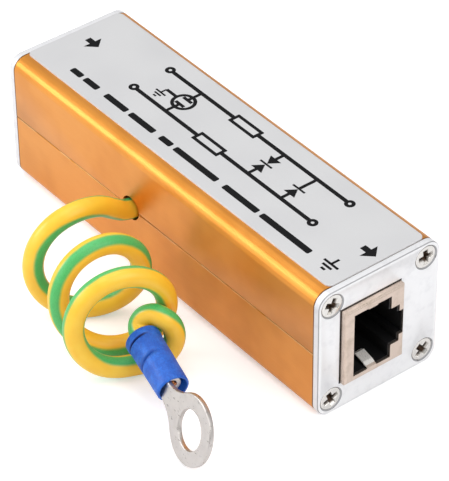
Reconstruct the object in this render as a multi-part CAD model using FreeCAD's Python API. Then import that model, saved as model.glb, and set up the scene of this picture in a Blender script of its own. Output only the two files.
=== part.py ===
import FreeCAD, Part
import math
import os

from FreeCAD import Matrix, Placement, Rotation, Vector

# Ethernet surge protector in a two-part extruded case, in millimetres.
# X runs along the case from the IN end to the OUT end, -Y is the side that the earth wire leaves,
# Z is up, and the origin is the bottom centre of the case.

# Case: two extruded halves that lap along the seam
CASE_LENGTH = 80.0
CASE_WIDTH = 25.0
CASE_HEIGHT = 25.0
CORNER_RADIUS = 2.5
WALL = 1.5
SEAM_HEIGHT = CASE_HEIGHT / 2 + 0.45
SEAM_BEVEL = 0.15
LIP_HEIGHT = 1.2
LIP_THICKNESS = 0.7
LIP_GAP = 0.05

# End plates and their countersunk screws
PLATE_THICKNESS = 2.0
PLATE_CUTOUT_GAP = 0.1
SCREW_INSET = 2.8
SCREW_RADIUS = 1.2
SCREW_LENGTH = 9.0
SCREW_GAP = 0.05
HEAD_RADIUS = 2.2
HEAD_DEPTH = 1.1
HEAD_SETBACK = 0.1
RECESS_SPAN = 2.3
RECESS_WIDTH = 0.5
RECESS_DEPTH = 0.8
CHANNEL_WALL = 0.8

# Label on the top face
LABEL_WIDTH = 20.0
LABEL_OFFSET = 0.65
LABEL_THICKNESS = 0.25
LABEL_CORNER_RADIUS = 2.5
LABEL_END_MARGIN = 0.1

# Circuit board, on edge in the slots of both case halves
BOARD_THICKNESS = 1.6
BOARD_FACE_Y = 0.176 * CASE_WIDTH
BOARD_END_MARGIN = 0.4
BOARD_EDGE_GAP = 0.1
RIB_THICKNESS = 1.0
RIB_HEIGHT = 1.6
RIB_GAP = 0.1
LEAD_PROUD = 1.0
HOLE_GAP = 0.1

# Network socket: shield of folded sheet, moulded housing, contact carrier, contacts.
# Heights are measured from the board's face, widths lie along Z about the socket's middle.
SHEET = 0.3
SHIELD_LENGTH = 21.3
SHIELD_WIDTH = 14.9
SHIELD_HEIGHT = 12.3
SHIELD_PROUD = 1.25
SHIELD_CORNER_RADIUS = 0.45
SOCKET_MIDDLE_Z = CASE_HEIGHT / 2 + 0.4
SEAT_GAP = 0.05
PORT_WIDTH = SHIELD_WIDTH - 2.24
PORT_LOW = 2.9
PORT_HIGH = SHIELD_HEIGHT - 1.7
LATCH_WIDTH = 7.6
LATCH_LOW = 1.15
KEY_WIDTH = 4.9
KEY_LOW = 0.3
PORT_INSET = 0.25
PORT_DEPTH = 11.7
FINGER_WIDTH = 1.9
FINGER_HEIGHT = (PORT_LOW + PORT_HIGH) / 2
FINGER_REACH = 2.9
FINGER_RISE = 1.1
FINGER_SHEET = 0.25
FINGER_ROOM = 0.25
SHIELD_TAB_WIDTH = 1.6
SHIELD_TAB_SETBACK = 13.2
PEG_SIZE = 2.2
PEG_SPACING = SHIELD_WIDTH - 4.9
PEG_SETBACK = 9.6
CARRIER_WIDTH = 9.2
CARRIER_ROOF = 0.95
CARRIER_SETBACK = 2.2
CONTACT_COUNT = 8
CONTACT_PITCH = 1.02
CONTACT_WIDTH = 0.35
CONTACT_THICKNESS = 0.3
CONTACT_GAP = 0.05
CONTACT_TAIL_SETBACK = SHIELD_LENGTH - 2.5
CONTACT_TAIL_STAGGER = 2.5
CONTACT_TIP_SETBACK = 10.0
CONTACT_TIP_HEIGHT = PORT_HIGH - 2.9

# Gas discharge tubes, one for each pair: square ceramic bars along Z with three raised electrodes
TUBE_COUNT = 2
TUBE_SIZE = 5.0
TUBE_LENGTH = 7.0
TUBE_ELECTRODE = 1.0
TUBE_ELECTRODE_PROUD = 0.2

# Moulded and ceramic chips on the board, each given as length, width and height
CHIP_GAP = 0.02
CHIP_FOOT_REACH = 0.4
CHIP_FOOT_SHEET = 0.25
RESISTOR_CHIP = (6.4, 3.2, 1.0)
STEERING_CHIP = (4.3, 2.6, 2.2)
CLAMP_CHIP = (3.8, 4.4, 2.4)
ROW_COUNT = 4

# Earth wire
WIRE_RADIUS = 1.8
CORE_RADIUS = 0.9
WIRE_HOLE_RADIUS = 2.25
WIRE_HOLE_X = -0.0925 * CASE_LENGTH
STRIPPED_LENGTH = 3.4
SOLDER_RADIUS = 1.8
SOLDER_HEIGHT = 1.1

# Route of the lead from the inner wall face to where it bends up to the coil, points chosen by hand
SIDE_Y = -CASE_WIDTH / 2
LEAD_ROUTE = (
    (WIRE_HOLE_X, SIDE_Y + WALL + 0.1, SEAM_HEIGHT),
    (WIRE_HOLE_X, SIDE_Y - 2.5, SEAM_HEIGHT),
)
RUN_SHARE = 0.45

# Loose coil on the floor, from its first loop by the case to its last: a fat tube that lies along
# its middle line, at the outer radius of the loops
COIL_FIRST = (-5.8, SIDE_Y - 10.9)
COIL_LAST = (13.4, SIDE_Y - 16.6)
COIL_LOOP_RADIUS = 8.6
COIL_START_ANGLE = 96.0
COIL_POCKET_DEPTH = 9.0
COIL_POCKET_MARGIN = 2.4

# Ring terminal, placed by its entry, its long axis and the direction of the ring's face
TERMINAL_ENTRY = (16.15, SIDE_Y - 15.48, 8.18)
TERMINAL_AXIS = (0.9694, -0.2077, -0.131)
TERMINAL_FACE = (-0.1576, -0.9353, 0.3168)
SLEEVE_LENGTH = 11.9
SLEEVE_RADIUS = 2.95
SLEEVE_GAP = 0.05
SLEEVE_BELL = 1.8
SLEEVE_BELL_WALL = 0.35
INSULATION_IN_SLEEVE = 5.4
BARREL_RADIUS = WIRE_RADIUS
BARREL_WALL = 0.85
BARREL_SETBACK = 0.9
CORE_SETBACK = 0.2
TONGUE_THICKNESS = 0.9
TONGUE_HALF_WIDTH = 1.7
TONGUE_START = 1.5
NECK_FILLET = 7.0
RING_DISTANCE = 9.2
RING_RADIUS = 5.94
RING_HOLE_RADIUS = 3.35

# Values that follow from the ones above
HALF_LENGTH = CASE_LENGTH / 2
HALF_WIDTH = CASE_WIDTH / 2
PLATE_FACE_X = HALF_LENGTH + PLATE_THICKNESS
MOUTH_X = PLATE_FACE_X + SHIELD_PROUD
SCREW_Y = HALF_WIDTH - SCREW_INSET
SCREW_HEIGHTS = (SCREW_INSET, CASE_HEIGHT - SCREW_INSET)
SCREW_PLACES = [(y, z) for y in (-SCREW_Y, SCREW_Y) for z in SCREW_HEIGHTS]
BOARD_BACK_Y = BOARD_FACE_Y + BOARD_THICKNESS
PIN_END_Y = BOARD_BACK_Y + LEAD_PROUD
PEG_END_Y = BOARD_BACK_Y
WIRE_INNER_Y = -HALF_WIDTH + WALL + 0.1
ROOM_END_X = MOUTH_X - SHIELD_LENGTH
ROOM_LOW = WALL + RIB_HEIGHT
ROOM_HEIGHT = CASE_HEIGHT - 2 * ROOM_LOW


def box(x_range, y_range, z_range):
    """Box between the given low and high places on each axis."""
    corner = Vector(x_range[0], y_range[0], z_range[0])
    return Part.makeBox(x_range[1] - x_range[0], y_range[1] - y_range[0],
                        z_range[1] - z_range[0], corner)


def rod(start, axis, radius, length):
    """Cylinder from start along axis."""
    return Part.makeCylinder(radius, length, Vector(*start), Vector(*axis))


def section_rectangle(y_range, z_range, radius=0.0):
    """Face in the YZ plane at x = 0, with its corners rounded to radius."""
    y0, y1 = y_range
    z0, z1 = z_range
    if radius <= 0.0:
        corners = [Vector(0, y0, z0), Vector(0, y1, z0), Vector(0, y1, z1), Vector(0, y0, z1)]
        return Part.Face(Part.makePolygon(corners + corners[:1]))
    middles = [(y1 - radius, z0 + radius, -90), (y1 - radius, z1 - radius, 0),
               (y0 + radius, z1 - radius, 90), (y0 + radius, z0 + radius, 180)]

    def on_corner(middle, degrees):
        angle = math.radians(degrees)
        return Vector(0, middle[0] + radius * math.cos(angle), middle[1] + radius * math.sin(angle))

    edges = []
    for number, middle in enumerate(middles):
        points = [on_corner(middle, middle[2] + step) for step in (0, 45, 90)]
        edges.append(Part.Arc(*points).toShape())
        following = middles[(number + 1) % 4]
        edges.append(Part.LineSegment(points[2], on_corner(following, following[2])).toShape())
    return Part.Face(Part.Wire(edges))


def section_disc(y, z, radius):
    """Round face in the YZ plane at x = 0."""
    circle = Part.Circle(Vector(0, y, z), Vector(1, 0, 0), radius)
    return Part.Face(Part.Wire(circle.toShape()))


def section_polygon(points):
    """Face in the YZ plane at x = 0 through (y, z) points."""
    corners = [Vector(0, y, z) for y, z in points]
    return Part.Face(Part.makePolygon(corners + corners[:1]))


def one_solid(shape):
    """The single solid of a boolean's result, with its merged faces."""
    solids = shape.removeSplitter().Solids
    if len(solids) != 1:
        raise ValueError("expected one solid, found %d" % len(solids))
    return solids[0]


def strip(points, thickness, across, width):
    """Bent sheet strip: a flat path of points, given a thickness and carried along across."""
    normal = Vector(*across).normalize()
    path = [Vector(*point) for point in points]

    def side(sign):
        offset = []
        for number, point in enumerate(path):
            before = path[number] - path[number - 1] if number > 0 else path[1] - path[0]
            after = path[number + 1] - path[number] if number < len(path) - 1 else before
            first = normal.cross(before).normalize()
            second = normal.cross(after).normalize()
            middle = (first + second).normalize()
            reach = sign * thickness / 2 / middle.dot(first)
            offset.append(point + middle * reach)
        return offset

    outline = side(1) + side(-1)[::-1]
    face = Part.Face(Part.makePolygon(outline + outline[:1]))
    face.translate(normal * (-width / 2))
    return face.extrude(normal * width)


def turned_end(shape):
    """The same piece at the IN end: half a turn about the socket's middle, parallel to Y."""
    copy = shape.copy()
    copy.rotate(Vector(0, 0, SOCKET_MIDDLE_Z), Vector(0, 1, 0), 180)
    return copy


def mirrored_end(shape):
    """The same piece at the IN end: mirrored across the middle of the case."""
    return shape.mirror(Vector(0, 0, 0), Vector(1, 0, 0))


# Case

def case_section():
    """Whole section of the case: wall, corner screw channels and board slots."""
    outer = section_rectangle((-HALF_WIDTH, HALF_WIDTH), (0, CASE_HEIGHT), CORNER_RADIUS)
    inner = section_rectangle((-HALF_WIDTH + WALL, HALF_WIDTH - WALL), (WALL, CASE_HEIGHT - WALL),
                              max(CORNER_RADIUS - WALL, 0.2))
    section = outer.cut(inner)
    channel_radius = SCREW_RADIUS + SCREW_GAP
    for y, z in SCREW_PLACES:
        boss = section_disc(y, z, channel_radius + CHANNEL_WALL).common(outer)
        section = section.fuse(boss)
    for y0 in (BOARD_FACE_Y - RIB_GAP - RIB_THICKNESS, BOARD_BACK_Y + RIB_GAP):
        for z0, z1 in ((WALL / 2, WALL + RIB_HEIGHT),
                       (CASE_HEIGHT - WALL - RIB_HEIGHT, CASE_HEIGHT - WALL / 2)):
            section = section.fuse(section_rectangle((y0, y0 + RIB_THICKNESS), (z0, z1)))
    for y, z in SCREW_PLACES:
        section = section.cut(section_disc(y, z, channel_radius))
    return section


def shell(upper):
    """One half of the case, extruded from its section, with half of the wire hole."""
    margin = 1.0
    reach = HALF_WIDTH + margin
    if upper:
        half = section_rectangle((-reach, reach), (SEAM_HEIGHT, CASE_HEIGHT + margin))
    else:
        half = section_rectangle((-reach, reach), (-margin, SEAM_HEIGHT))
    section = case_section().common(half)
    for side in (-1, 1):
        wall_inner = side * (HALF_WIDTH - WALL)
        wall_outer = side * HALF_WIDTH
        bevel_tip = SEAM_HEIGHT + (SEAM_BEVEL if upper else -SEAM_BEVEL)
        bevel = section_polygon([(wall_outer, SEAM_HEIGHT), (wall_outer - side * SEAM_BEVEL, SEAM_HEIGHT),
                                 (wall_outer, bevel_tip)])
        section = section.cut(bevel)
        if upper:
            lip_outer = wall_inner + side * (LIP_THICKNESS + LIP_GAP)
            room = section_rectangle(sorted((wall_inner - side * margin, lip_outer)),
                                     (SEAM_HEIGHT - margin, SEAM_HEIGHT + LIP_HEIGHT + LIP_GAP))
            section = section.cut(room)
        else:
            lip_outer = wall_inner + side * LIP_THICKNESS
            lip = section_rectangle(sorted((wall_inner, lip_outer)),
                                    (SEAM_HEIGHT - margin, SEAM_HEIGHT + LIP_HEIGHT))
            section = section.fuse(lip)
    bars = section.extrude(Vector(CASE_LENGTH, 0, 0)).Solids
    body = bars[0].fuse(bars[1:]) if len(bars) > 1 else bars[0]
    body.translate(Vector(-HALF_LENGTH, 0, 0))
    wire_hole = rod((WIRE_HOLE_X, -HALF_WIDTH - margin, SEAM_HEIGHT), (0, 1, 0), WIRE_HOLE_RADIUS,
                    WALL + 2 * margin)
    room = shield_room(SCREW_GAP)
    return one_solid(body.cut([wire_hole, room, mirrored_end(room)]))


def label():
    """Thin adhesive plate along the top face."""
    length = CASE_LENGTH - 2 * LABEL_END_MARGIN
    plate = Part.makeBox(length, LABEL_WIDTH, LABEL_THICKNESS,
                         Vector(-length / 2, LABEL_OFFSET - LABEL_WIDTH / 2, CASE_HEIGHT))
    uprights = [edge for edge in plate.Edges
                if abs(edge.tangentAt(edge.FirstParameter).z) > 0.9]
    return plate.makeFillet(LABEL_CORNER_RADIUS, uprights)


def shield_room(gap):
    """Space that a socket's shield takes in the case and its end plate, gap all round."""
    y_high = BOARD_FACE_Y - SEAT_GAP
    return box((MOUTH_X - SHIELD_LENGTH - gap, MOUTH_X + 1.0),
               (y_high - SHIELD_HEIGHT - gap, y_high + gap),
               (SOCKET_MIDDLE_Z - SHIELD_WIDTH / 2 - gap, SOCKET_MIDDLE_Z + SHIELD_WIDTH / 2 + gap))


def end_plate():
    """Plate of the OUT end: socket cut-out and four countersunk holes."""
    outline = section_rectangle((-HALF_WIDTH, HALF_WIDTH), (0, CASE_HEIGHT), CORNER_RADIUS)
    outline.translate(Vector(HALF_LENGTH, 0, 0))
    plate = outline.extrude(Vector(PLATE_THICKNESS, 0, 0))
    holes = [screw_body(y, z, SCREW_GAP) for y, z in SCREW_PLACES]
    return one_solid(plate.cut([shield_room(PLATE_CUTOUT_GAP)] + holes))


def screw_body(y, z, gap):
    """Countersunk screw without its recess, or with a gap the room for it, open at the plate's face."""
    head_top = PLATE_FACE_X - HEAD_SETBACK
    slope = (HEAD_RADIUS - SCREW_RADIUS) / HEAD_DEPTH
    above = HEAD_SETBACK if gap > 0 else 0.0
    tip = PLATE_FACE_X - SCREW_LENGTH - gap
    profile = [(head_top + above, 0), (head_top + above, HEAD_RADIUS + gap + above * slope),
               (head_top - HEAD_DEPTH, SCREW_RADIUS + gap), (tip, SCREW_RADIUS + gap), (tip, 0)]
    points = [Vector(x, y + radius, z) for x, radius in profile]
    face = Part.Face(Part.makePolygon(points + points[:1]))
    return face.revolve(Vector(0, y, z), Vector(1, 0, 0), 360)


def screws():
    """Four screws of the OUT end, each with a cross recess turned its own way."""
    group = []
    turns = (20, 65, 40, 5)
    for (y, z), turn in zip(SCREW_PLACES, turns):
        screw = screw_body(y, z, 0.0)
        blade = section_rectangle((-RECESS_SPAN / 2, RECESS_SPAN / 2), (-RECESS_WIDTH / 2, RECESS_WIDTH / 2))
        wedge = blade.extrude(Vector(-RECESS_DEPTH, 0, 0))
        for angle in (turn, turn + 90):
            slot = wedge.copy()
            slot.rotate(Vector(0, 0, 0), Vector(1, 0, 0), angle)
            slot.translate(Vector(PLATE_FACE_X - HEAD_SETBACK, y, z))
            screw = screw.cut(slot)
        group.append(one_solid(screw))
    return Part.Compound(group)


# Network socket at the OUT end

def at_height(height):
    """Y of a height above the board's face."""
    return BOARD_FACE_Y - height


def port_section(inset):
    """Stepped outline of the socket's opening, drawn in by inset."""
    half_port = PORT_WIDTH / 2 - inset
    half_latch = LATCH_WIDTH / 2 - inset
    half_key = KEY_WIDTH / 2 - inset
    top, shoulder = at_height(PORT_HIGH - inset), at_height(PORT_LOW + inset)
    latch, key = at_height(LATCH_LOW + inset), at_height(KEY_LOW + inset / 2)
    outline = [(top, half_port), (shoulder, half_port), (shoulder, half_latch), (latch, half_latch),
               (latch, half_key), (key, half_key)]
    outline += [(y, -z) for y, z in reversed(outline)]
    return section_polygon([(y, SOCKET_MIDDLE_Z + z) for y, z in outline])


def finger(side):
    """Spring finger of the shield: from the opening's edge it folds in and bends to the middle."""
    edge_z = SOCKET_MIDDLE_Z + side * PORT_WIDTH / 2
    y = at_height(FINGER_HEIGHT)
    front = MOUTH_X - FINGER_SHEET / 2
    path = [(front, y, edge_z + side * 0.3),
            (front, y, edge_z - side * 0.1),
            (front - FINGER_REACH * 0.35, y, edge_z - side * FINGER_RISE * 0.55),
            (front - FINGER_REACH, y, edge_z - side * FINGER_RISE),
            (front - FINGER_REACH - 0.7, y, edge_z - side * FINGER_RISE * 0.6)]
    return strip(path, FINGER_SHEET, (0, 1, 0), FINGER_WIDTH)


def socket_shield():
    """Folded metal shield: rounded front with the stepped opening, sides, roof, back, tabs and fingers."""
    y_low = at_height(SEAT_GAP + SHIELD_HEIGHT)
    y_high = at_height(SEAT_GAP)
    z_low = SOCKET_MIDDLE_Z - SHIELD_WIDTH / 2
    z_high = SOCKET_MIDDLE_Z + SHIELD_WIDTH / 2
    x_back = MOUTH_X - SHIELD_LENGTH
    outer = box((x_back, MOUTH_X), (y_low, y_high), (z_low, z_high))
    folds = [edge for edge in outer.Edges if edge.BoundBox.XMin > MOUTH_X - 0.01]
    outer = outer.makeFillet(SHIELD_CORNER_RADIUS, folds)
    inner = box((x_back + SHEET, MOUTH_X - SHEET), (y_low + SHEET, y_high + 1.0),
                (z_low + SHEET, z_high - SHEET))
    opening = port_section(0.0).extrude(Vector(2 * SHEET, 0, 0))
    opening.translate(Vector(MOUTH_X - 1.5 * SHEET, 0, 0))
    shield = outer.cut([inner, opening])
    tab_x = MOUTH_X - SHIELD_TAB_SETBACK
    for z0 in (z_low, z_high - SHEET):
        tab = box((tab_x - SHIELD_TAB_WIDTH / 2, tab_x + SHIELD_TAB_WIDTH / 2),
                  (y_high - 1.0, PIN_END_Y), (z0, z0 + SHEET))
        shield = shield.fuse(tab)
    return one_solid(shield.fuse([finger(-1), finger(1)]))


def carrier_block(gap):
    """L-shaped room of the contact carrier: a roof over the cavity and a block behind it."""
    roof_y = at_height(PORT_HIGH - PORT_INSET)
    half = CARRIER_WIDTH / 2 + gap
    z_range = (SOCKET_MIDDLE_Z - half, SOCKET_MIDDLE_Z + half)
    x_back = MOUTH_X - SHIELD_LENGTH + 0.8
    roof = box((x_back - gap, MOUTH_X - CARRIER_SETBACK + gap),
               (roof_y - CARRIER_ROOF - gap, roof_y), z_range)
    block = box((x_back - gap, MOUTH_X - SHEET - PORT_DEPTH),
                (roof_y - CARRIER_ROOF - gap, at_height(2 * SEAT_GAP - gap)), z_range)
    return roof.fuse(block)


def socket_housing():
    """Black moulding: stepped cavity, recesses behind the fingers, pegs into the board."""
    inside = SHEET + SEAT_GAP
    block = box((MOUTH_X - SHIELD_LENGTH + inside, MOUTH_X - inside),
                (at_height(SEAT_GAP + SHIELD_HEIGHT) + inside, at_height(2 * SEAT_GAP)),
                (SOCKET_MIDDLE_Z - SHIELD_WIDTH / 2 + inside, SOCKET_MIDDLE_Z + SHIELD_WIDTH / 2 - inside))
    cavity = port_section(PORT_INSET).extrude(Vector(PORT_DEPTH + 1.0, 0, 0))
    cavity.translate(Vector(MOUTH_X - SHEET - PORT_DEPTH, 0, 0))
    finger_half = FINGER_WIDTH / 2 + FINGER_ROOM
    finger_y = at_height(FINGER_HEIGHT)
    recess_z = PORT_WIDTH / 2 + SHEET
    recess = box((MOUTH_X - FINGER_REACH - 1.6, MOUTH_X), (finger_y - finger_half, finger_y + finger_half),
                 (SOCKET_MIDDLE_Z - recess_z, SOCKET_MIDDLE_Z + recess_z))
    housing = block.cut([cavity, recess, carrier_block(SEAT_GAP)])
    for z in (SOCKET_MIDDLE_Z - PEG_SPACING / 2, SOCKET_MIDDLE_Z + PEG_SPACING / 2):
        peg_x = MOUTH_X - PEG_SETBACK
        housing = housing.fuse(box((peg_x - PEG_SIZE / 2, peg_x + PEG_SIZE / 2), (at_height(1.0), PEG_END_Y),
                                   (z - PEG_SIZE / 2, z + PEG_SIZE / 2)))
    return one_solid(housing)


def contact_places():
    """Z and tail X of each contact, the tails in two staggered rows."""
    for number in range(CONTACT_COUNT):
        z = SOCKET_MIDDLE_Z + (number - (CONTACT_COUNT - 1) / 2) * CONTACT_PITCH
        yield z, MOUTH_X - CONTACT_TAIL_SETBACK + (number % 2) * CONTACT_TAIL_STAGGER


def contact_roof_y():
    """Y of the contacts' middle line in the carrier's roof."""
    return at_height(PORT_HIGH - PORT_INSET) - CARRIER_ROOF / 2 - 0.05


def socket_carrier():
    """Contact carrier, with one slot for each contact in its roof and its block."""
    carrier = carrier_block(0.0)
    half = CONTACT_WIDTH / 2 + CONTACT_GAP
    deep = CONTACT_THICKNESS / 2 + CONTACT_GAP
    roof_y = contact_roof_y()
    slots = []
    for z, tail_x in contact_places():
        slots.append(box((tail_x - deep, MOUTH_X), (roof_y - deep, at_height(PORT_HIGH - PORT_INSET) + 0.3),
                         (z - half, z + half)))
        slots.append(box((tail_x - deep, tail_x + deep), (roof_y - deep, BOARD_FACE_Y), (z - half, z + half)))
    return one_solid(carrier.cut(slots))


def socket_contacts():
    """Eight contact wires: tail through the board, along the roof, bent back into the cavity."""
    roof_y = contact_roof_y()
    bend_x = MOUTH_X - CARRIER_SETBACK - 0.35
    wires = []
    for z, tail_x in contact_places():
        path = [(tail_x, PIN_END_Y, z), (tail_x, roof_y, z), (bend_x - 0.5, roof_y, z),
                (bend_x, roof_y + 0.45, z),
                (MOUTH_X - CONTACT_TIP_SETBACK, at_height(CONTACT_TIP_HEIGHT), z)]
        wires.append(strip(path, CONTACT_THICKNESS, (0, 0, 1), CONTACT_WIDTH))
    return Part.Compound(wires)


# Board and what stands on it

def both_ends(x, z):
    """A place of the OUT socket, and the place it takes at the IN end."""
    return [(x, z), (-x, 2 * SOCKET_MIDDLE_Z - z)]


def rows(count):
    """Z of each row, where the free height between the ribs is shared out evenly."""
    return [ROOM_LOW + ROOM_HEIGHT * (number + 0.5) / count for number in range(count)]


def columns(start, end, lengths):
    """X of the middle of each column, with equal gaps between start and end."""
    gap = (end - start - sum(lengths)) / (len(lengths) + 1)
    middles = []
    for length in lengths:
        middles.append(start + gap + length / 2)
        start += gap + length
    return middles


def footprint(size):
    """Length of a chip along X with its feet."""
    return size[0] + 2 * CHIP_FOOT_REACH


def tube_column():
    """X of the gas tubes, between the IN socket and the column of the wire."""
    return columns(-ROOM_END_X, WIRE_HOLE_X - footprint(CLAMP_CHIP) / 2, [TUBE_SIZE])[0]


def chip_columns():
    """X of the resistors and of both columns of steering diodes, from the wire to the OUT socket."""
    return columns(WIRE_HOLE_X + footprint(CLAMP_CHIP) / 2, ROOM_END_X,
                   [footprint(RESISTOR_CHIP), footprint(STEERING_CHIP), footprint(STEERING_CHIP)])


def board():
    """Circuit board with a hole for every pin, peg and tab."""
    length = CASE_LENGTH - 2 * BOARD_END_MARGIN
    z_low = WALL + BOARD_EDGE_GAP
    plate = box((-length / 2, length / 2), (BOARD_FACE_Y, BOARD_BACK_Y), (z_low, CASE_HEIGHT - z_low))

    def slot(x, z, x_size, z_size):
        """Room through the board for a flat pin or square peg, with the hole gap all round."""
        x_half, z_half = x_size / 2 + HOLE_GAP, z_size / 2 + HOLE_GAP
        return box((x - x_half, x + x_half), (BOARD_FACE_Y - 1.0, BOARD_BACK_Y + 1.0), (z - z_half, z + z_half))

    holes = [rod((WIRE_HOLE_X, BOARD_FACE_Y - 1.0, SEAM_HEIGHT), (0, 1, 0), CORE_RADIUS + HOLE_GAP,
                 BOARD_THICKNESS + 2.0)]
    for z, tail_x in contact_places():
        holes += [slot(x, end_z, CONTACT_THICKNESS, CONTACT_WIDTH) for x, end_z in both_ends(tail_x, z)]
    for side in (-1, 1):
        peg_z = SOCKET_MIDDLE_Z + side * PEG_SPACING / 2
        holes += [slot(x, end_z, PEG_SIZE, PEG_SIZE) for x, end_z in both_ends(MOUTH_X - PEG_SETBACK, peg_z)]
        tab_z = SOCKET_MIDDLE_Z + side * (SHIELD_WIDTH - SHEET) / 2
        holes += [slot(x, end_z, SHIELD_TAB_WIDTH, SHEET)
                  for x, end_z in both_ends(MOUTH_X - SHIELD_TAB_SETBACK, tab_z)]
    return one_solid(plate.cut(holes))


def gas_tube(z):
    """Three-electrode gas tube: square ceramic bar with an electrode at each end and in the middle."""
    x = tube_column()
    low_y = BOARD_FACE_Y - CHIP_GAP

    def bar(inset, z_middle, length):
        half = TUBE_SIZE / 2 - inset
        return box((x - half, x + half), (low_y - TUBE_SIZE + inset, low_y - inset),
                   (z_middle - length / 2, z_middle + length / 2))

    reach = (TUBE_LENGTH - TUBE_ELECTRODE) / 2
    electrodes = [bar(0.0, z + shift, TUBE_ELECTRODE) for shift in (-reach, 0.0, reach)]
    return one_solid(bar(TUBE_ELECTRODE_PROUD, z, TUBE_LENGTH).fuse(electrodes))


def chip(x, z, size):
    """Chip on the board: moulded body on two flat feet."""
    length, width, height = size
    low_y = BOARD_FACE_Y - CHIP_GAP
    body = box((x - length / 2, x + length / 2), (low_y - height, low_y - CHIP_FOOT_SHEET / 2),
               (z - width / 2, z + width / 2))
    for sign in (-1, 1):
        foot_x = sorted((x + sign * length / 4, x + sign * (length / 2 + CHIP_FOOT_REACH)))
        body = body.fuse(box(foot_x, (low_y - CHIP_FOOT_SHEET, low_y), (z - width / 3, z + width / 3)))
    return one_solid(body)


def resistors():
    """Series resistors, one for each line."""
    return Part.Compound([chip(chip_columns()[0], z, RESISTOR_CHIP) for z in rows(ROW_COUNT)])


def steering_diodes():
    """Small moulded diodes in two columns."""
    return Part.Compound([chip(x, z, STEERING_CHIP) for x in chip_columns()[1:] for z in rows(ROW_COUNT)])


def clamp_diodes():
    """Clamping diodes, one in the middle of the room below the wire and one above it."""
    below = (ROOM_LOW + SEAM_HEIGHT - WIRE_RADIUS) / 2
    above = (ROOM_LOW + ROOM_HEIGHT + SEAM_HEIGHT + WIRE_RADIUS) / 2
    return Part.Compound([chip(WIRE_HOLE_X, z, CLAMP_CHIP) for z in (below, above)])


# Earth wire

def inner_wire():
    """Insulated wire inside the case, straight from the wall to the board."""
    end_y = BOARD_FACE_Y - STRIPPED_LENGTH
    return rod((WIRE_HOLE_X, WIRE_INNER_Y, SEAM_HEIGHT), (0, 1, 0), WIRE_RADIUS, end_y - WIRE_INNER_Y)


def inner_core():
    """Bare conductor of the inner end, through its hole to the back of the board."""
    start_y = BOARD_FACE_Y - STRIPPED_LENGTH
    return rod((WIRE_HOLE_X, start_y, SEAM_HEIGHT), (0, 1, 0), CORE_RADIUS, BOARD_BACK_Y - start_y)


def solder_joint():
    """Cone of solder over the conductor's end on the back of the board."""
    return Part.makeCone(SOLDER_RADIUS, CORE_RADIUS, SOLDER_HEIGHT,
                         Vector(WIRE_HOLE_X, BOARD_BACK_Y, SEAM_HEIGHT), Vector(0, 1, 0))


def coil_axes():
    """Directions of the coil: along its middle line, and level across it."""
    along = Vector(COIL_LAST[0] - COIL_FIRST[0], COIL_LAST[1] - COIL_FIRST[1], 0).normalize()
    return along, Vector(-along.y, along.x, 0)


def coil_middle(place):
    """Point on the coil's middle line above one of its ends, at the height where the coil lies down."""
    return Vector(place[0], place[1], COIL_LOOP_RADIUS + WIRE_RADIUS)


def coil_start():
    """First point of the coil, on the middle line of its wire."""
    across = coil_axes()[1]
    angle = math.radians(COIL_START_ANGLE)
    outward = across * math.cos(angle) + Vector(0, 0, 1) * math.sin(angle)
    return coil_middle(COIL_FIRST) + outward * COIL_LOOP_RADIUS


def coil_envelope():
    """Outer shape of the coil: one fat tube that ends at the sleeve, cut back where the lead arrives."""
    along = coil_axes()[0]
    start = coil_middle(COIL_FIRST) - along * WIRE_RADIUS
    length = (coil_middle(COIL_LAST) - start).Length + WIRE_RADIUS
    body = Part.makeCylinder(COIL_LOOP_RADIUS + WIRE_RADIUS, length, start, along)
    point = coil_start()
    arriving = (point - lead_route()[-2]).normalize()
    sideways = arriving.cross(Vector(0, 0, 1)).normalize()
    upward = sideways.cross(arriving)
    side = sideways * (sideways.dot(along) / abs(sideways.dot(along)))
    low = point - upward * COIL_POCKET_MARGIN - side * COIL_POCKET_DEPTH
    far = low + side * (COIL_POCKET_DEPTH + COIL_POCKET_MARGIN)
    back = arriving * (-2 * COIL_LOOP_RADIUS)
    face = Part.Face(Part.makePolygon([low, far, far + back, low + back, low]))
    pocket = face.extrude(upward * COIL_LOOP_RADIUS)
    return one_solid(body.cut(pocket))


def lead_route():
    """Corner points of the lead, ending on the coil."""
    return [Vector(*point) for point in LEAD_ROUTE] + [coil_start()]


def earth_lead():
    """Tube along straight runs joined by tangent arcs, from the wall to the coil."""
    corners = lead_route()
    edges = []
    last = corners[0]
    for before, corner, after in zip(corners, corners[1:], corners[2:]):
        arriving = (corner - before).normalize()
        leaving = (after - corner).normalize()
        half_turn = arriving.getAngle(leaving) / 2
        reach = RUN_SHARE * min((corner - before).Length, (after - corner).Length)
        radius = reach / math.tan(half_turn)
        print("lead bend radius %.1f mm" % radius)
        start = corner - arriving * reach
        end = corner + leaving * reach
        inward = (leaving - arriving).normalize()
        middle = corner + inward * (radius / math.cos(half_turn) - radius)
        edges.append(Part.LineSegment(last, start).toShape())
        edges.append(Part.Arc(start, middle, end).toShape())
        last = end
    edges.append(Part.LineSegment(last, corners[-1]).toShape())
    path = Part.Wire(edges)
    profile = Part.Wire(Part.Circle(corners[0], corners[1] - corners[0], WIRE_RADIUS).toShape())
    tube = path.makePipeShell([profile], True, False)
    print("lead volume share %.4f" % (tube.Volume / (math.pi * WIRE_RADIUS ** 2 * path.Length)))
    return tube


# Ring terminal on the wire's end

def terminal_frame():
    """Entry point of the sleeve, and the terminal's axis and face directions."""
    axis = Vector(*TERMINAL_AXIS).normalize()
    face = Vector(*TERMINAL_FACE)
    face = (face - axis * face.dot(axis)).normalize()
    return Vector(*TERMINAL_ENTRY), axis, face


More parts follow.
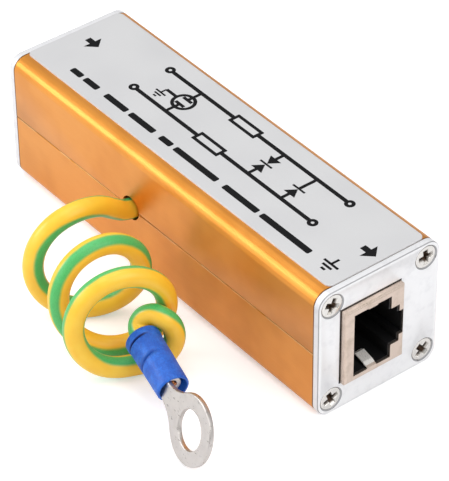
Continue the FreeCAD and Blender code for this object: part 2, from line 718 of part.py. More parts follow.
def placed(shape):
    """Move a piece from the terminal's own frame: X along it from the front of the sleeve, Z its face."""
    entry, axis, face = terminal_frame()
    front = entry + axis * SLEEVE_LENGTH
    across = face.cross(axis)
    matrix = Matrix(axis.x, across.x, face.x, front.x,
                    axis.y, across.y, face.y, front.y,
                    axis.z, across.z, face.z, front.z,
                    0, 0, 0, 1)
    copy = shape.copy()
    copy.Placement = Placement(matrix).multiply(copy.Placement)
    return copy


def turned_profile(outline):
    """Solid of revolution about X from (x, radius) points."""
    points = [Vector(x, radius, 0) for x, radius in outline]
    face = Part.Face(Part.makePolygon(points + points[:1]))
    return face.revolve(Vector(0, 0, 0), Vector(1, 0, 0), 360)


def terminal_sleeve():
    """Blue sleeve: one bore for the wire and the barrel, and a bell at the front."""
    bore = WIRE_RADIUS + SLEEVE_GAP
    bell_bore = SLEEVE_RADIUS - SLEEVE_BELL_WALL
    return placed(turned_profile([
        (-SLEEVE_LENGTH, bore), (-SLEEVE_LENGTH, SLEEVE_RADIUS), (0.0, SLEEVE_RADIUS), (0.0, bell_bore),
        (-SLEEVE_BELL, bell_bore), (-SLEEVE_BELL, bore)]))


def ring_outline():
    """Flat outline of tongue and ring: neck lines, concave fillets and the ring's arc."""
    half = TONGUE_HALF_WIDTH
    rise = half + NECK_FILLET
    gap = math.sqrt((RING_RADIUS + NECK_FILLET) ** 2 - rise ** 2)
    fillet_x = RING_DISTANCE - gap
    share = RING_RADIUS / (RING_RADIUS + NECK_FILLET)
    touch = (RING_DISTANCE - gap * share, rise * share)
    turn = math.atan2(gap, rise) / 2
    middle = (fillet_x + NECK_FILLET * math.sin(turn), rise - NECK_FILLET * math.cos(turn))

    def at(point, side):
        return Vector(point[0], side * point[1], 0)

    start = (-TONGUE_START, half)
    neck = (fillet_x, half)
    edges = [Part.LineSegment(at(start, -1), at(neck, -1)).toShape(),
             Part.Arc(at(neck, -1), at(middle, -1), at(touch, -1)).toShape(),
             Part.Arc(at(touch, -1), Vector(RING_DISTANCE + RING_RADIUS, 0, 0), at(touch, 1)).toShape(),
             Part.Arc(at(touch, 1), at(middle, 1), at(neck, 1)).toShape(),
             Part.LineSegment(at(neck, 1), at(start, 1)).toShape(),
             Part.LineSegment(at(start, 1), at(start, -1)).toShape()]
    return Part.Face(Part.Wire(edges))


def ring_terminal():
    """Tinned terminal: rolled barrel, and the tongue with its ring, flush with the barrel's side."""
    barrel_back = -SLEEVE_LENGTH + INSULATION_IN_SLEEVE + 2 * SLEEVE_GAP
    bore = BARREL_RADIUS - BARREL_WALL
    barrel = turned_profile([(barrel_back, bore), (barrel_back, BARREL_RADIUS),
                             (-BARREL_SETBACK, BARREL_RADIUS), (-BARREL_SETBACK, bore)])
    plate = ring_outline().extrude(Vector(0, 0, TONGUE_THICKNESS))
    hole = Part.makeCylinder(RING_HOLE_RADIUS, TONGUE_THICKNESS * 3,
                             Vector(RING_DISTANCE, 0, -TONGUE_THICKNESS), Vector(0, 0, 1))
    plate = plate.cut(hole)
    plate.translate(Vector(0, 0, BARREL_RADIUS - TONGUE_THICKNESS))
    clear_bore = Part.makeCylinder(bore, TONGUE_START, Vector(-TONGUE_START, 0, 0), Vector(1, 0, 0))
    return placed(one_solid(barrel.fuse(plate).cut(clear_bore)))


def tail_insulation():
    """Insulated wire inside the sleeve, up to the barrel."""
    return placed(Part.makeCylinder(WIRE_RADIUS, INSULATION_IN_SLEEVE, Vector(-SLEEVE_LENGTH, 0, 0),
                                    Vector(1, 0, 0)))


def tail_core():
    """Bare conductor, from the end of the insulation to just inside the barrel's mouth."""
    start_x = INSULATION_IN_SLEEVE - SLEEVE_LENGTH
    return placed(Part.makeCylinder(CORE_RADIUS, -BARREL_SETBACK - CORE_SETBACK - start_x,
                                    Vector(start_x, 0, 0), Vector(1, 0, 0)))


def build_parts():
    """Every node's name and shape."""
    shield, housing = socket_shield(), socket_housing()
    carrier, contacts = socket_carrier(), socket_contacts()
    plate, screw_group = end_plate(), screws()
    parts = {
        "lower_shell": shell(False),
        "upper_shell": shell(True),
        "label": label(),
        "end_plate_out": plate,
        "end_plate_in": mirrored_end(plate),
        "screws_out": screw_group,
        "screws_in": mirrored_end(screw_group),
        "socket_shield_out": shield,
        "socket_shield_in": turned_end(shield),
        "socket_housing_out": housing,
        "socket_housing_in": turned_end(housing),
        "contact_carrier_out": carrier,
        "contact_carrier_in": turned_end(carrier),
        "contacts_out": contacts,
        "contacts_in": turned_end(contacts),
        "circuit_board": board(),
        "series_resistors": resistors(),
        "steering_diodes": steering_diodes(),
        "clamp_diodes": clamp_diodes(),
        "earth_wire_inner": inner_wire(),
        "earth_core_inner": inner_core(),
        "earth_solder_joint": solder_joint(),
        "earth_wire_lead": earth_lead(),
        "earth_wire_coil": coil_envelope(),
        "earth_wire_tail": tail_insulation(),
        "earth_core_tail": tail_core(),
        "terminal_sleeve": terminal_sleeve(),
        "ring_terminal": ring_terminal(),
    }
    for number, z in enumerate(rows(TUBE_COUNT), start=1):
        parts["gas_tube_pair_%d" % number] = gas_tube(z)
    return parts


os.makedirs("parts", exist_ok=True)
for name, shape in build_parts().items():
    for solid in shape.Solids:
        if solid.Volume < 0 or not solid.isValid():
            raise ValueError("%s is not a valid solid" % name)
    shape.exportStep("parts/%s.step" % name)
    print("%-22s %2d solid(s) %9.1f mm3" % (name, len(shape.Solids), shape.Volume))
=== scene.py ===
import logging
import math
from dataclasses import dataclass, field, replace
from enum import Enum

import bmesh
import bpy
import numpy as np
from mathutils import Matrix, Vector
from mathutils.kdtree import KDTree

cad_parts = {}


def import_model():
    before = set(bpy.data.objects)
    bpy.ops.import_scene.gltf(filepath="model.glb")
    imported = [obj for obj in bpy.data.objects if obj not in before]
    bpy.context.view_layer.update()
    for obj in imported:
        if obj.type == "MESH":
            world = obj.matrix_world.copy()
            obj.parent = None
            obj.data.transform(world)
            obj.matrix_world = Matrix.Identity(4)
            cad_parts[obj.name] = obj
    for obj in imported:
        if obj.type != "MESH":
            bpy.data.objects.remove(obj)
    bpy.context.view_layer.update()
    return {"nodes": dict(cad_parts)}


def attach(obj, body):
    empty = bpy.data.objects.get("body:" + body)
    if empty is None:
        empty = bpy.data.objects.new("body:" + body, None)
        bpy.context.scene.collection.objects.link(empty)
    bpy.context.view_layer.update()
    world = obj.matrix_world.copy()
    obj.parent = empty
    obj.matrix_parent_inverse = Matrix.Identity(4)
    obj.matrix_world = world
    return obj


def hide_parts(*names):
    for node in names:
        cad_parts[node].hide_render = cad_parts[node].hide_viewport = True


# Ethernet surge protector: finishes for the CAD pieces, the coiled earth wire with its terminal,
# the printed top label, and the studio round them. Lengths are in millimetres until a mesh is made.

MM = 0.001
TAU = 2 * math.pi
PORT_MIDDLE = (-1.8, 12.9)
LOG = logging.getLogger("surge_protector")

Array = np.ndarray
Pair = tuple[float, float]
Point = tuple[float, float, float]
Colour = tuple[float, float, float]


def linear(red: int, green: int, blue: int) -> Colour:
    """Scene-linear colour of an sRGB colour given in steps of 255.

    Up to the curve's knee a share is divided by 12.92; above it, it is (share + 0.055) / 1.055 to the
    power of 2.4.

    Args:
        red: red step.
        green: green step.
        blue: blue step.

    Returns:
        The three linear values.
    """
    knee = 0.04045
    share = np.array([red, green, blue]) / 255
    return tuple(np.where(share <= knee, share / 12.92, ((share + 0.055) / 1.055) ** 2.4).tolist())


def unit(vector: Array) -> Array:
    """Vectors along the last axis, scaled to length one."""
    return vector / np.linalg.norm(vector, axis=-1, keepdims=True)


def bell(distance: Array, width: float) -> Array:
    """Bell curve: 1 at no distance, and e to the minus square of distance over width elsewhere."""
    return np.exp(-((distance / width) ** 2))


def at_height(outline: Array, height: float) -> Array:
    """An outline of (x, y) places as points at one height."""
    return np.concatenate([outline, np.full((len(outline), 1), height)], -1)


# Shader maths

@dataclass(frozen=True)
class Grain:
    """Noise of a finish.

    Args:
        scale: lumps per millimetre.
        detail: octaves.
        rough: strength of the finer octaves.
        fade: the noise at which its mask is 0, and that at which it is full.
        share: the strength of its mask.
    """

    scale: float
    detail: float = 2.0
    rough: float = 0.5
    fade: Pair = (0.35, 0.7)
    share: float = 1.0


class Term:
    """A value in a node tree that takes part in Python expressions."""

    def __init__(self, shader: "Shader", socket: bpy.types.NodeSocket) -> None:
        """Hold the value that an output socket of a shader's tree carries."""
        self.shader = shader
        self.socket = socket

    def apply(self, operation: str, *others: "Term | float", flipped: bool = False) -> "Term":
        """Add a Math node.

        Args:
            operation: the Math node's operation.
            others: the further operands.
            flipped: whether this value is the second operand.

        Returns:
            The node's result.
        """
        operands = [self, *others]
        if flipped:
            operands[0], operands[1] = operands[1], operands[0]
        return self.shader.add("ShaderNodeMath", {"operation": operation}, dict(enumerate(operands)))

    def __add__(self, other: "Term | float") -> "Term":
        """This value plus another."""
        return self.apply("ADD", other)

    __radd__ = __add__

    def __mul__(self, other: "Term | float") -> "Term":
        """This value times another."""
        return self.apply("MULTIPLY", other)

    __rmul__ = __mul__

    def __sub__(self, other: "Term | float") -> "Term":
        """This value less another."""
        return self.apply("SUBTRACT", other)

    def __rsub__(self, other: "Term | float") -> "Term":
        """Another value less this one."""
        return self.apply("SUBTRACT", other, flipped=True)

    def __abs__(self) -> "Term":
        """Size of this value without its sign."""
        return self.apply("ABSOLUTE")

    def most(self, other: "Term | float") -> "Term":
        """The larger of this value and another."""
        return self.apply("MAXIMUM", other)

    def step(self, low: float, high: float) -> "Term":
        """Smooth step of this value.

        Args:
            low: value at which the result is 0.
            high: value at which the result is 1, below low for a falling step.

        Returns:
            A value from 0 to 1.
        """
        return self.shader.add("ShaderNodeMapRange", {"interpolation_type": "SMOOTHSTEP"},
                               {"Value": self, "From Min": low, "From Max": high})

    def mask(self, grain: Grain) -> "Term":
        """Noise as a mask: a smooth step over its grain's fade, times the grain's share."""
        return self.step(*grain.fade) * grain.share

    def around(self, middle: float, spread: float) -> "Term":
        """Noise as a value that swings about a middle one: middle + (noise - 0.5) * spread."""
        return middle + (self - 0.5) * spread


class Shader:
    """One material's node tree, built by expressions."""

    def __init__(self, name: str) -> None:
        """Start a material with its surface and output nodes.

        Args:
            name: the material's name.
        """
        self.material = bpy.data.materials.new(name)
        self.material.use_nodes = True
        self.tree = self.material.node_tree
        self.tree.nodes.clear()
        self.surface = self.node("ShaderNodeBsdfPrincipled")
        self.node("ShaderNodeOutputMaterial", sockets={"Surface": Term(self, self.surface.outputs["BSDF"])})

    def node(self, kind: str, settings: dict | None = None, sockets: dict | None = None) -> bpy.types.Node:
        """Add any node.

        Args:
            kind: the node's type.
            settings: the node's own properties, which are set first.
            sockets: values or links of its inputs, by name or number.

        Returns:
            The node.
        """
        node = self.tree.nodes.new(kind)
        for key, value in (settings or {}).items():
            setattr(node, key, value)
        for key, value in (sockets or {}).items():
            self.feed(node.inputs[key], value)
        return node

    def add(self, kind: str, settings: dict | None = None, sockets: dict | None = None,
            result: int | str = 0) -> Term:
        """Add any node and take one of its outputs.

        Args:
            kind: the node's type.
            settings: the node's own properties.
            sockets: values or links of its inputs, by name or number.
            result: the output to give back.

        Returns:
            That output as a term.
        """
        return Term(self, self.node(kind, settings, sockets).outputs[result])

    def feed(self, socket: bpy.types.NodeSocket, value: "Term | float | tuple") -> None:
        """Link a term to an input, or set the input's value.

        Args:
            socket: the input.
            value: a term, a number, a vector or a colour.
        """
        if isinstance(value, Term):
            self.tree.links.new(value.socket, socket)
        elif isinstance(value, tuple) and len(value) == 3 and socket.type == "RGBA":
            socket.default_value = (*value, 1.0)
        else:
            socket.default_value = value

    def vector(self, operation: str, first: Term, second: "Term | Point", result: str = "Vector") -> Term:
        """Vector Math of two vectors, such as MULTIPLY, or DOT_PRODUCT with its result in Value."""
        return self.add("ShaderNodeVectorMath", {"operation": operation}, {0: first, 1: second}, result)

    def place(self) -> Term:
        """Object coordinates in millimetres."""
        return self.vector("MULTIPLY", self.add("ShaderNodeTexCoord", result="Object"), (1 / MM,) * 3)

    def split(self, vector: Term) -> tuple[Term, Term, Term]:
        """The three components of a vector."""
        parts = self.node("ShaderNodeSeparateXYZ", None, {0: vector}).outputs
        return tuple(Term(self, part) for part in parts)

    def past_window(self, place: Term, half: Pair) -> Term:
        """How far a place lies outside the sockets' window: the larger of its distances across and up.

        Args:
            place: the place in millimetres.
            half: the window's half width and half height round the sockets' middle.

        Returns:
            The distance, below 0 inside the window.
        """
        _, y, z = self.split(place)
        return (abs(y - PORT_MIDDLE[0]) - half[0]).most(abs(z - PORT_MIDDLE[1]) - half[1])

    def noise(self, vector: Term, grain: Grain) -> Term:
        """Noise from 0 to 1 of the given grain, read at a vector."""
        return self.add("ShaderNodeTexNoise", None, {"Vector": vector, "Scale": grain.scale,
                                                     "Detail": grain.detail, "Roughness": grain.rough})

    def mix(self, share: "Term | float", first: "Term | Colour", second: "Term | Colour") -> Term:
        """Mix two colours.

        Args:
            share: 0 for the first colour, 1 for the second.
            first: a colour or a term.
            second: a colour or a term.

        Returns:
            The mixed colour.
        """
        factor, colour_a, colour_b, colour_result = 0, 6, 7, 2
        return self.add("ShaderNodeMix", {"data_type": "RGBA"},
                        {factor: share, colour_a: first, colour_b: second}, colour_result)

    def bump(self, height: Term, distance: float, strength: float) -> Term:
        """Bump from a height of 0 to 1.

        Args:
            height: the height.
            distance: the height's size in millimetres.
            strength: share of the effect.

        Returns:
            The normal.
        """
        return self.add("ShaderNodeBump", None,
                        {"Height": height, "Distance": distance * MM, "Strength": strength})

    def finish(self, **sockets: "Term | float | tuple") -> bpy.types.Material:
        """Set the surface's sockets.

        Args:
            sockets: values or links, by the socket's name with _ for a blank.

        Returns:
            The finished material.
        """
        for key, value in sockets.items():
            self.feed(self.surface.inputs[key.replace("_", " ")], value)
        return self.material


# Finishes

# A fade gives where a smooth step is 0 and where it is 1, a share how far a mask mixes its colour in,
# a spread how far noise moves the roughness, and a relief a bump's size in millimetres and its strength.

@dataclass(frozen=True)
class AnodisedExtrusion:
    """Gold anodised aluminium: fine lines along the extrusion and soft cloudy dye.

    Painted shade darkens the gaps at the joints with the end plates and along the seam's parting line, and a
    painted highlight, broken up by the clouds, lies along the seam's lower edge.
    """

    colour: Colour = linear(233, 156, 60)
    deep: Colour = linear(214, 134, 30)
    # The next two colours are painted light: shade in the gaps at the joints and the parting line, and a
    # highlight on the seam's lower edge.
    painted_shade: Colour = linear(70, 44, 20)
    seam_highlight: Colour = linear(255, 216, 156)
    roughness: float = 0.44
    spread: float = 0.12
    metallic: float = 0.85
    coat: float = 0.45
    coat_roughness: float = 0.36
    relief: Pair = (0.012, 0.5)
    relief_shares: Pair = (0.6, 0.4)
    lines: Grain = Grain(3.0, 4.0, 0.65, share=0.25)
    line_stretch: Point = (0.05, 2.2, 2.2)
    speckle: Grain = Grain(9.0, 2.0, 0.7)
    clouds: Grain = Grain(0.12, share=0.5)
    # Place, fade and strength of the painted shade in the gaps at the joints with the end plates.
    joint: float = 40.8
    joint_fade: Pair = (-0.3, -0.12)
    joint_shade_share: float = 0.9
    joint_rough: float = 0.3
    # Place and fades of the painted shade in the seam's groove, then of the painted highlight below it,
    # broken up where the clouds are low.
    parting: float = 12.97
    parting_fade: Pair = (0.07, 0.03)
    parting_shade_share: float = 0.8
    glint: float = 12.82
    glint_fade: Pair = (0.12, 0.05)
    glint_share: float = 0.6
    highlight_break_fade: Pair = (0.4, 0.5)

    def material(self) -> bpy.types.Material:
        """Make the finish.

        Returns:
            The material.
        """
        shader = Shader("gold_anodised")
        place = shader.place()
        x, _, z = shader.split(place)
        lines = shader.noise(shader.vector("MULTIPLY", place, self.line_stretch), self.lines)
        clouds = shader.noise(place, self.clouds)
        speckle = shader.noise(place, self.speckle)
        # Painted shade in the gaps at the joints and along the seam's groove, and a painted highlight along
        # the seam's lower bevel.
        joint = (abs(x) - self.joint).step(*self.joint_fade)
        worn = abs(z - self.glint).step(*self.glint_fade) * clouds.step(*self.highlight_break_fade)
        parting = abs(z - self.parting).step(*self.parting_fade)
        dye = shader.mix(lines * self.lines.share + clouds.mask(self.clouds), self.colour, self.deep)
        colour = shader.mix(joint * self.joint_shade_share, dye, self.painted_shade)
        colour = shader.mix(worn * self.glint_share, colour, self.seam_highlight)
        colour = shader.mix(parting * self.parting_shade_share, colour, self.painted_shade)
        height = lines * self.relief_shares[0] + speckle * self.relief_shares[1]
        return shader.finish(
            Base_Color=colour, Metallic=self.metallic,
            Coat_Weight=self.coat, Coat_Roughness=self.coat_roughness,
            Roughness=lines.around(self.roughness, self.spread) + joint * self.joint_rough,
            Normal=shader.bump(height, *self.relief))


@dataclass(frozen=True)
class ClearPlate:
    """Clear anodised plate: near white, with a faint cloudy grain.

    Painted shade makes its cut edges greyer, a painted dark line follows the rim of its face, and a painted
    shadow darkens the gap round the socket.
    """

    colour: Colour = linear(250, 250, 251)
    # grey serves both the cloudy grain and the painted shade on the cut edges; edge is the painted dark line
    # on the rim, gap the painted shadow round the socket.
    grey: Colour = linear(212, 212, 216)
    edge: Colour = linear(120, 120, 124)
    gap: Colour = linear(34, 30, 28)
    roughness: float = 0.36
    spread: float = 0.15
    metallic: float = 0.25
    relief: Pair = (0.01, 0.35)
    clouds: Grain = Grain(0.55, 3.0, 0.6, (0.45, 0.75), 0.25)
    pits: Grain = Grain(7.0, 3.0, 0.7)
    face: float = 42.0
    side_shade_fade: Pair = (0.2, 0.3)
    side_shade_share: float = 0.5
    rim_start_fade: Pair = (0.01, 0.06)
    rim_end_fade: Pair = (0.26, 0.16)
    rim_share: float = 0.75
    window_half: Pair = (6.25, 7.55)
    gap_shadow_fade: Pair = (0.2, 0.06)

    def material(self) -> bpy.types.Material:
        """Make the finish.

        Returns:
            The material.
        """
        shader = Shader("clear_aluminium")
        place = shader.place()
        x, _, _ = shader.split(place)
        clouds = shader.noise(place, self.clouds)
        pits = shader.noise(place, self.pits)
        # The cut edges behind the face get painted shade, the rim a painted dark line, and the gap round the
        # socket's window a painted shadow.
        below = self.face - abs(x)
        rim = below.step(*self.rim_start_fade) * below.step(*self.rim_end_fade)
        grain_and_side_shade = clouds.mask(self.clouds) + below.step(*self.side_shade_fade) * self.side_shade_share
        beside = shader.past_window(place, self.window_half)
        colour = shader.mix(grain_and_side_shade, self.colour, self.grey)
        colour = shader.mix(rim * self.rim_share, colour, self.edge)
        colour = shader.mix(beside.step(*self.gap_shadow_fade), colour, self.gap)
        return shader.finish(Base_Color=colour, Metallic=self.metallic,
                             Roughness=pits.around(self.roughness, self.spread),
                             Normal=shader.bump(pits, *self.relief))


@dataclass(frozen=True)
class Ink:
    """Black printing ink, a little worn."""

    colour: Colour = linear(9, 9, 11)
    worn: Colour = linear(24, 24, 27)
    roughness: float = 0.6
    spread: float = 0.2
    specular: float = 0.15
    fine: Grain = Grain(14.0, share=0.5)

    def material(self) -> bpy.types.Material:
        """Make the finish.

        Returns:
            The material.
        """
        shader = Shader("label_ink")
        fine = shader.noise(shader.place(), self.fine)
        return shader.finish(Base_Color=shader.mix(fine * self.fine.share, self.colour, self.worn),
                             Roughness=fine.around(self.roughness, self.spread),
                             Specular_IOR_Level=self.specular)


@dataclass(frozen=True)
class PlatedSheet:
    """Bright plated metal with faint clouds and fine scratches.

    It may have dark nicks, and on the sockets' shields the spring fingers inside the opening are painted
    brighter and less metallic than the rest, as painted light where little light reaches them.
    """

    name: str
    colour: Colour
    dull: Colour
    roughness: float = 0.3
    spread: float = 0.25
    relief: Pair = (0.006, 0.4)
    clouds: Grain = Grain(0.5, 3.0, 0.6, (0.4, 0.75))
    scratches: Grain = Grain(3.0, 3.0, 0.75, (0.56, 0.6))
    scratch_turn: Point = (0.4, 0.7, 0.5)
    scratch_stretch: Point = (0.15, 2.5, 2.5)
    nicks: Grain = Grain(1.5, 1.0, fade=(0.58, 0.64))
    nick_colour: Colour = linear(92, 84, 78)
    nick_share: float = 0.0
    # Painted light: a brighter colour for the spring fingers in the shaded opening.
    spring: Colour | None = None
    spring_face: float = 42.95
    spring_half: Pair = (5.6, 6.5)
    spring_depth_fade: Pair = (0.0, 0.2)
    spring_side_fade: Pair = (0.0, -0.1)
    spring_dull: float = 0.65

    def inside_port(self, shader: Shader, place: Term) -> Term:
        """Mask of the sockets' openings: behind the shields' fronts and within the window.

        Args:
            shader: the finish's shader.
            place: the place that is shaded.

        Returns:
            1 inside the openings, 0 elsewhere.
        """
        x, _, _ = shader.split(place)
        behind = (self.spring_face - abs(x)).step(*self.spring_depth_fade)
        return behind * shader.past_window(place, self.spring_half).step(*self.spring_side_fade)

    def material(self) -> bpy.types.Material:
        """Make the finish.

        Returns:
            The material.
        """
        shader = Shader(self.name)
        place = shader.place()
        clouds = shader.noise(place, self.clouds)
        turned = shader.add("ShaderNodeMapping", None, {"Vector": place, "Rotation": self.scratch_turn,
                                                        "Scale": self.scratch_stretch})
        scratches = shader.noise(turned, self.scratches)
        colour = shader.mix(clouds.mask(self.clouds), self.colour, self.dull)
        metallic = 1.0
        if self.nick_share:
            nicks = shader.noise(place, self.nicks).mask(self.nicks) * scratches.mask(self.scratches)
            colour = shader.mix(nicks * self.nick_share, colour, self.nick_colour)
        # Painted light: the spring fingers inside the opening get a brighter colour and less metal, so that
        # they look lit.
        if self.spring:
            inside = self.inside_port(shader, place)
            colour = shader.mix(inside, colour, self.spring)
            metallic = 1.0 - inside * self.spring_dull
        return shader.finish(Base_Color=colour, Metallic=metallic,
                             Roughness=scratches.around(self.roughness, self.spread),
                             Normal=shader.bump(scratches, *self.relief))


@dataclass(frozen=True)
class ScrewSteel:
    """Plated screw steel, dark at the bottom of the cross recess and round the head.

    The dark at the bottom of the recess is painted shade, and the dark round the head a painted shadow. The
    distance from the nearest screw's middle gives the head's rim.
    """

    colour: Colour = linear(232, 229, 224)
    # Colour of the painted shade in the recess and of the painted shadow round the head.
    painted_shade: Colour = linear(72, 54, 40)
    roughness: float = 0.26
    spread: float = 0.2
    relief: Pair = (0.01, 0.5)
    fine: Grain = Grain(5.0, 3.0, 0.7)
    head_face: float = 41.9
    depth_fade: Pair = (0.12, 0.55)
    depth_dull: float = 0.3
    depth_rough: float = 0.2
    screw_place: float = 9.7
    case_middle: float = 12.5
    head_radius: float = 2.2
    rim_shadow_fade: Pair = (-0.2, -0.06)

    def material(self) -> bpy.types.Material:
        """Make the finish.

        Returns:
            The material.
        """
        shader = Shader("screw_steel")
        place = shader.place()
        x, y, z = shader.split(place)
        fine = shader.noise(place, self.fine)
        # Painted shade deepens with the recess's depth, and a painted shadow lies at the head's rim.
        depth = (self.head_face - abs(x)).step(*self.depth_fade)
        across = abs(y) - self.screw_place
        up = abs(z - self.case_middle) - self.screw_place
        reach = (across * across + up * up).apply("SQRT")
        rim = (reach - self.head_radius).step(*self.rim_shadow_fade)
        return shader.finish(
            Base_Color=shader.mix(depth.most(rim), self.colour, self.painted_shade),
            Metallic=1.0 - depth * self.depth_dull,
            Roughness=fine.around(self.roughness, self.spread) + depth * self.depth_rough,
            Normal=shader.bump(fine, *self.relief))


@dataclass(frozen=True)
class Moulding:
    """Moulded or cast non-metal with a fine spark-eroded grain."""

    name: str
    colour: Colour
    other: Colour
    roughness: float = 0.5
    spread: float = 0.2
    metallic: float = 0.0
    relief: Pair = (0.008, 0.5)
    fine: Grain = Grain(8.0, 3.0, 0.65, share=0.2)
    wide: Grain = Grain(0.4, share=0.6)

    def material(self) -> bpy.types.Material:
        """Make the finish.

        Returns:
            The material.
        """
        shader = Shader(self.name)
        place = shader.place()
        fine = shader.noise(place, self.fine)
        wide = shader.noise(place, self.wide)
        clouded = wide.mask(self.wide) + fine * self.fine.share
        return shader.finish(Base_Color=shader.mix(clouded, self.colour, self.other),
                             Metallic=self.metallic,
                             Roughness=fine.around(self.roughness, self.spread),
                             Normal=shader.bump(fine, *self.relief))


@dataclass(frozen=True)
class SilverFoil(Moulding):
    """Printed foil of the top label: pale satin silver, with the same kind of grain, much shallower."""

    name: str = "label_foil"
    colour: Colour = linear(215, 215, 216)
    other: Colour = linear(206, 206, 208)
    roughness: float = 0.4
    spread: float = 0.1
    metallic: float = 0.25
    relief: Pair = (0.004, 0.3)
    fine: Grain = Grain(12.0, 2.0, 0.6, share=0.2)
    wide: Grain = Grain(0.08, 1.0, fade=(0.3, 0.7), share=0.5)


@dataclass(frozen=True)
class SleeveVinyl:
    """Blue vinyl of the crimped sleeve: a woven-looking grain, with darker creases across the crimp.

    The slit and the crease carry painted shade, which lies across the sleeve's axis, at lengths from its
    entry, on the side that its face turns to.
    """

    entry: Point
    axis: Point
    face: Point
    slit_at: float
    crease_at: float
    blue: Colour = linear(16, 80, 184)
    light: Colour = linear(36, 116, 220)
    # Colour of the painted shade in the slit and the crease.
    dark: Colour = linear(6, 28, 92)
    roughness: float = 0.46
    spread: float = 0.2
    relief: Pair = (0.05, 0.7)
    weave: Grain = Grain(3.6, 3.0, 0.7, (0.4, 0.65), 0.45)
    wide: Grain = Grain(0.7, 3.0, 0.6, share=0.55)
    seen_fade: Pair = (0.4, 1.6)
    slit_fade: Pair = (0.26, 0.1)
    crease_fade: Pair = (0.9, 0.1)
    crease_shade_share: float = 0.4

    def material(self) -> bpy.types.Material:
        """Make the finish.

        Returns:
            The material.
        """
        shader = Shader("sleeve_vinyl")
        place = shader.place()
        off = shader.vector("SUBTRACT", place, self.entry)
        along = shader.vector("DOT_PRODUCT", off, self.axis, "Value")
        seen = shader.vector("DOT_PRODUCT", off, self.face, "Value").step(*self.seen_fade)
        weave = shader.noise(place, self.weave)
        wide = shader.noise(place, self.wide)
        # Painted shade in the slit and the crease, on the side that the face turns to.
        slit = abs(along - self.slit_at).step(*self.slit_fade) * seen
        crease = abs(along - self.crease_at).step(*self.crease_fade) * seen * self.crease_shade_share
        colour = shader.mix(wide.mask(self.wide) + weave.mask(self.weave), self.blue, self.light)
        return shader.finish(Base_Color=shader.mix(slit.most(crease), colour, self.dark),
                             Roughness=weave.around(self.roughness, self.spread),
                             Normal=shader.bump(weave, *self.relief))


@dataclass(frozen=True)
class StripedInsulation:
    """Yellow insulation with two green stripes, read from the wire's own stripe attribute."""

    yellow: Colour = linear(255, 206, 62)
    amber: Colour = linear(252, 192, 46)
    green: Colour = linear(84, 192, 108)
    dark_green: Colour = linear(40, 128, 48)
    roughness: float = 0.34
    spread: float = 0.14
    relief: Pair = (0.01, 0.35)
    attribute: str = "stripe"
    stripe_fade: Pair = (0.58, 0.88)
    stripe_wander: float = 0.12
    fine: Grain = Grain(6.0, 3.0, 0.6, (0.4, 0.7), 0.3)
    wide: Grain = Grain(0.35, share=0.5)

    def material(self) -> bpy.types.Material:
        """Make the finish.

        Returns:
            The material.
        """
        shader = Shader("striped_insulation")
        place = shader.place()
        stripe = shader.add("ShaderNodeAttribute", {"attribute_name": self.attribute}, result="Fac")
        fine = shader.noise(place, self.fine)
        wide = shader.noise(place, self.wide)
        mask = (stripe + wide.around(0.0, self.stripe_wander)).step(*self.stripe_fade)
        body = shader.mix(wide.mask(self.wide), self.yellow, self.amber)
        band = shader.mix(fine.mask(self.fine), self.green, self.dark_green)
        return shader.finish(Base_Color=shader.mix(mask, body, band),
                             Roughness=fine.around(self.roughness, self.spread),
                             Normal=shader.bump(fine, *self.relief))


# Meshes

def add_object(name: str, data: bpy.types.ID) -> bpy.types.Object:
    """Make an object and link it to the scene.

    Args:
        name: its name.
        data: its mesh, curve, lamp or camera.

    Returns:
        The object.
    """
    thing = bpy.data.objects.new(name, data)
    bpy.context.scene.collection.objects.link(thing)
    return thing


def read_points(mesh: bpy.types.Mesh) -> Array:
    """Read a mesh's points.

    Args:
        mesh: the mesh.

    Returns:
        Its points by 3, in metres.
    """
    points = np.empty(len(mesh.vertices) * 3)
    mesh.vertices.foreach_get("co", points)
    return points.reshape(-1, 3)


def merge_doubles(mesh: bpy.types.Mesh, distance: float = 1e-6) -> None:
    """Merge a mesh's coincident points and turn its faces outwards.

    Args:
        mesh: the mesh.
        distance: points nearer than this become one, in metres.
    """
    work = bmesh.new()
    work.from_mesh(mesh)
    bmesh.ops.remove_doubles(work, verts=work.verts, dist=distance)
    bmesh.ops.dissolve_degenerate(work, edges=work.edges, dist=distance / 10)
    bmesh.ops.recalc_face_normals(work, faces=work.faces)
    work.to_mesh(mesh)
    work.free()


def shade(mesh: bpy.types.Mesh, smooth_degrees: float = 35.0) -> None:
    """Shade a mesh smooth, with edges sharper than the given angle left sharp."""
    mesh.shade_smooth()
    mesh.set_sharp_from_angle(angle=math.radians(smooth_degrees))


def revolve(profile: list[Pair], around: int) -> Array:
    """Turn a profile about the X axis: x, radius * cos(angle), radius * sin(angle).

    Args:
        profile: places of (x, radius).
        around: points round the axis.

    Returns:
        Rows by columns by 3.
    """
    x, radius = np.array(profile).T[:, :, None]
    angle = np.linspace(0, TAU, around, endpoint=False)
    return np.stack(np.broadcast_arrays(x, radius * np.cos(angle), radius * np.sin(angle)), -1)


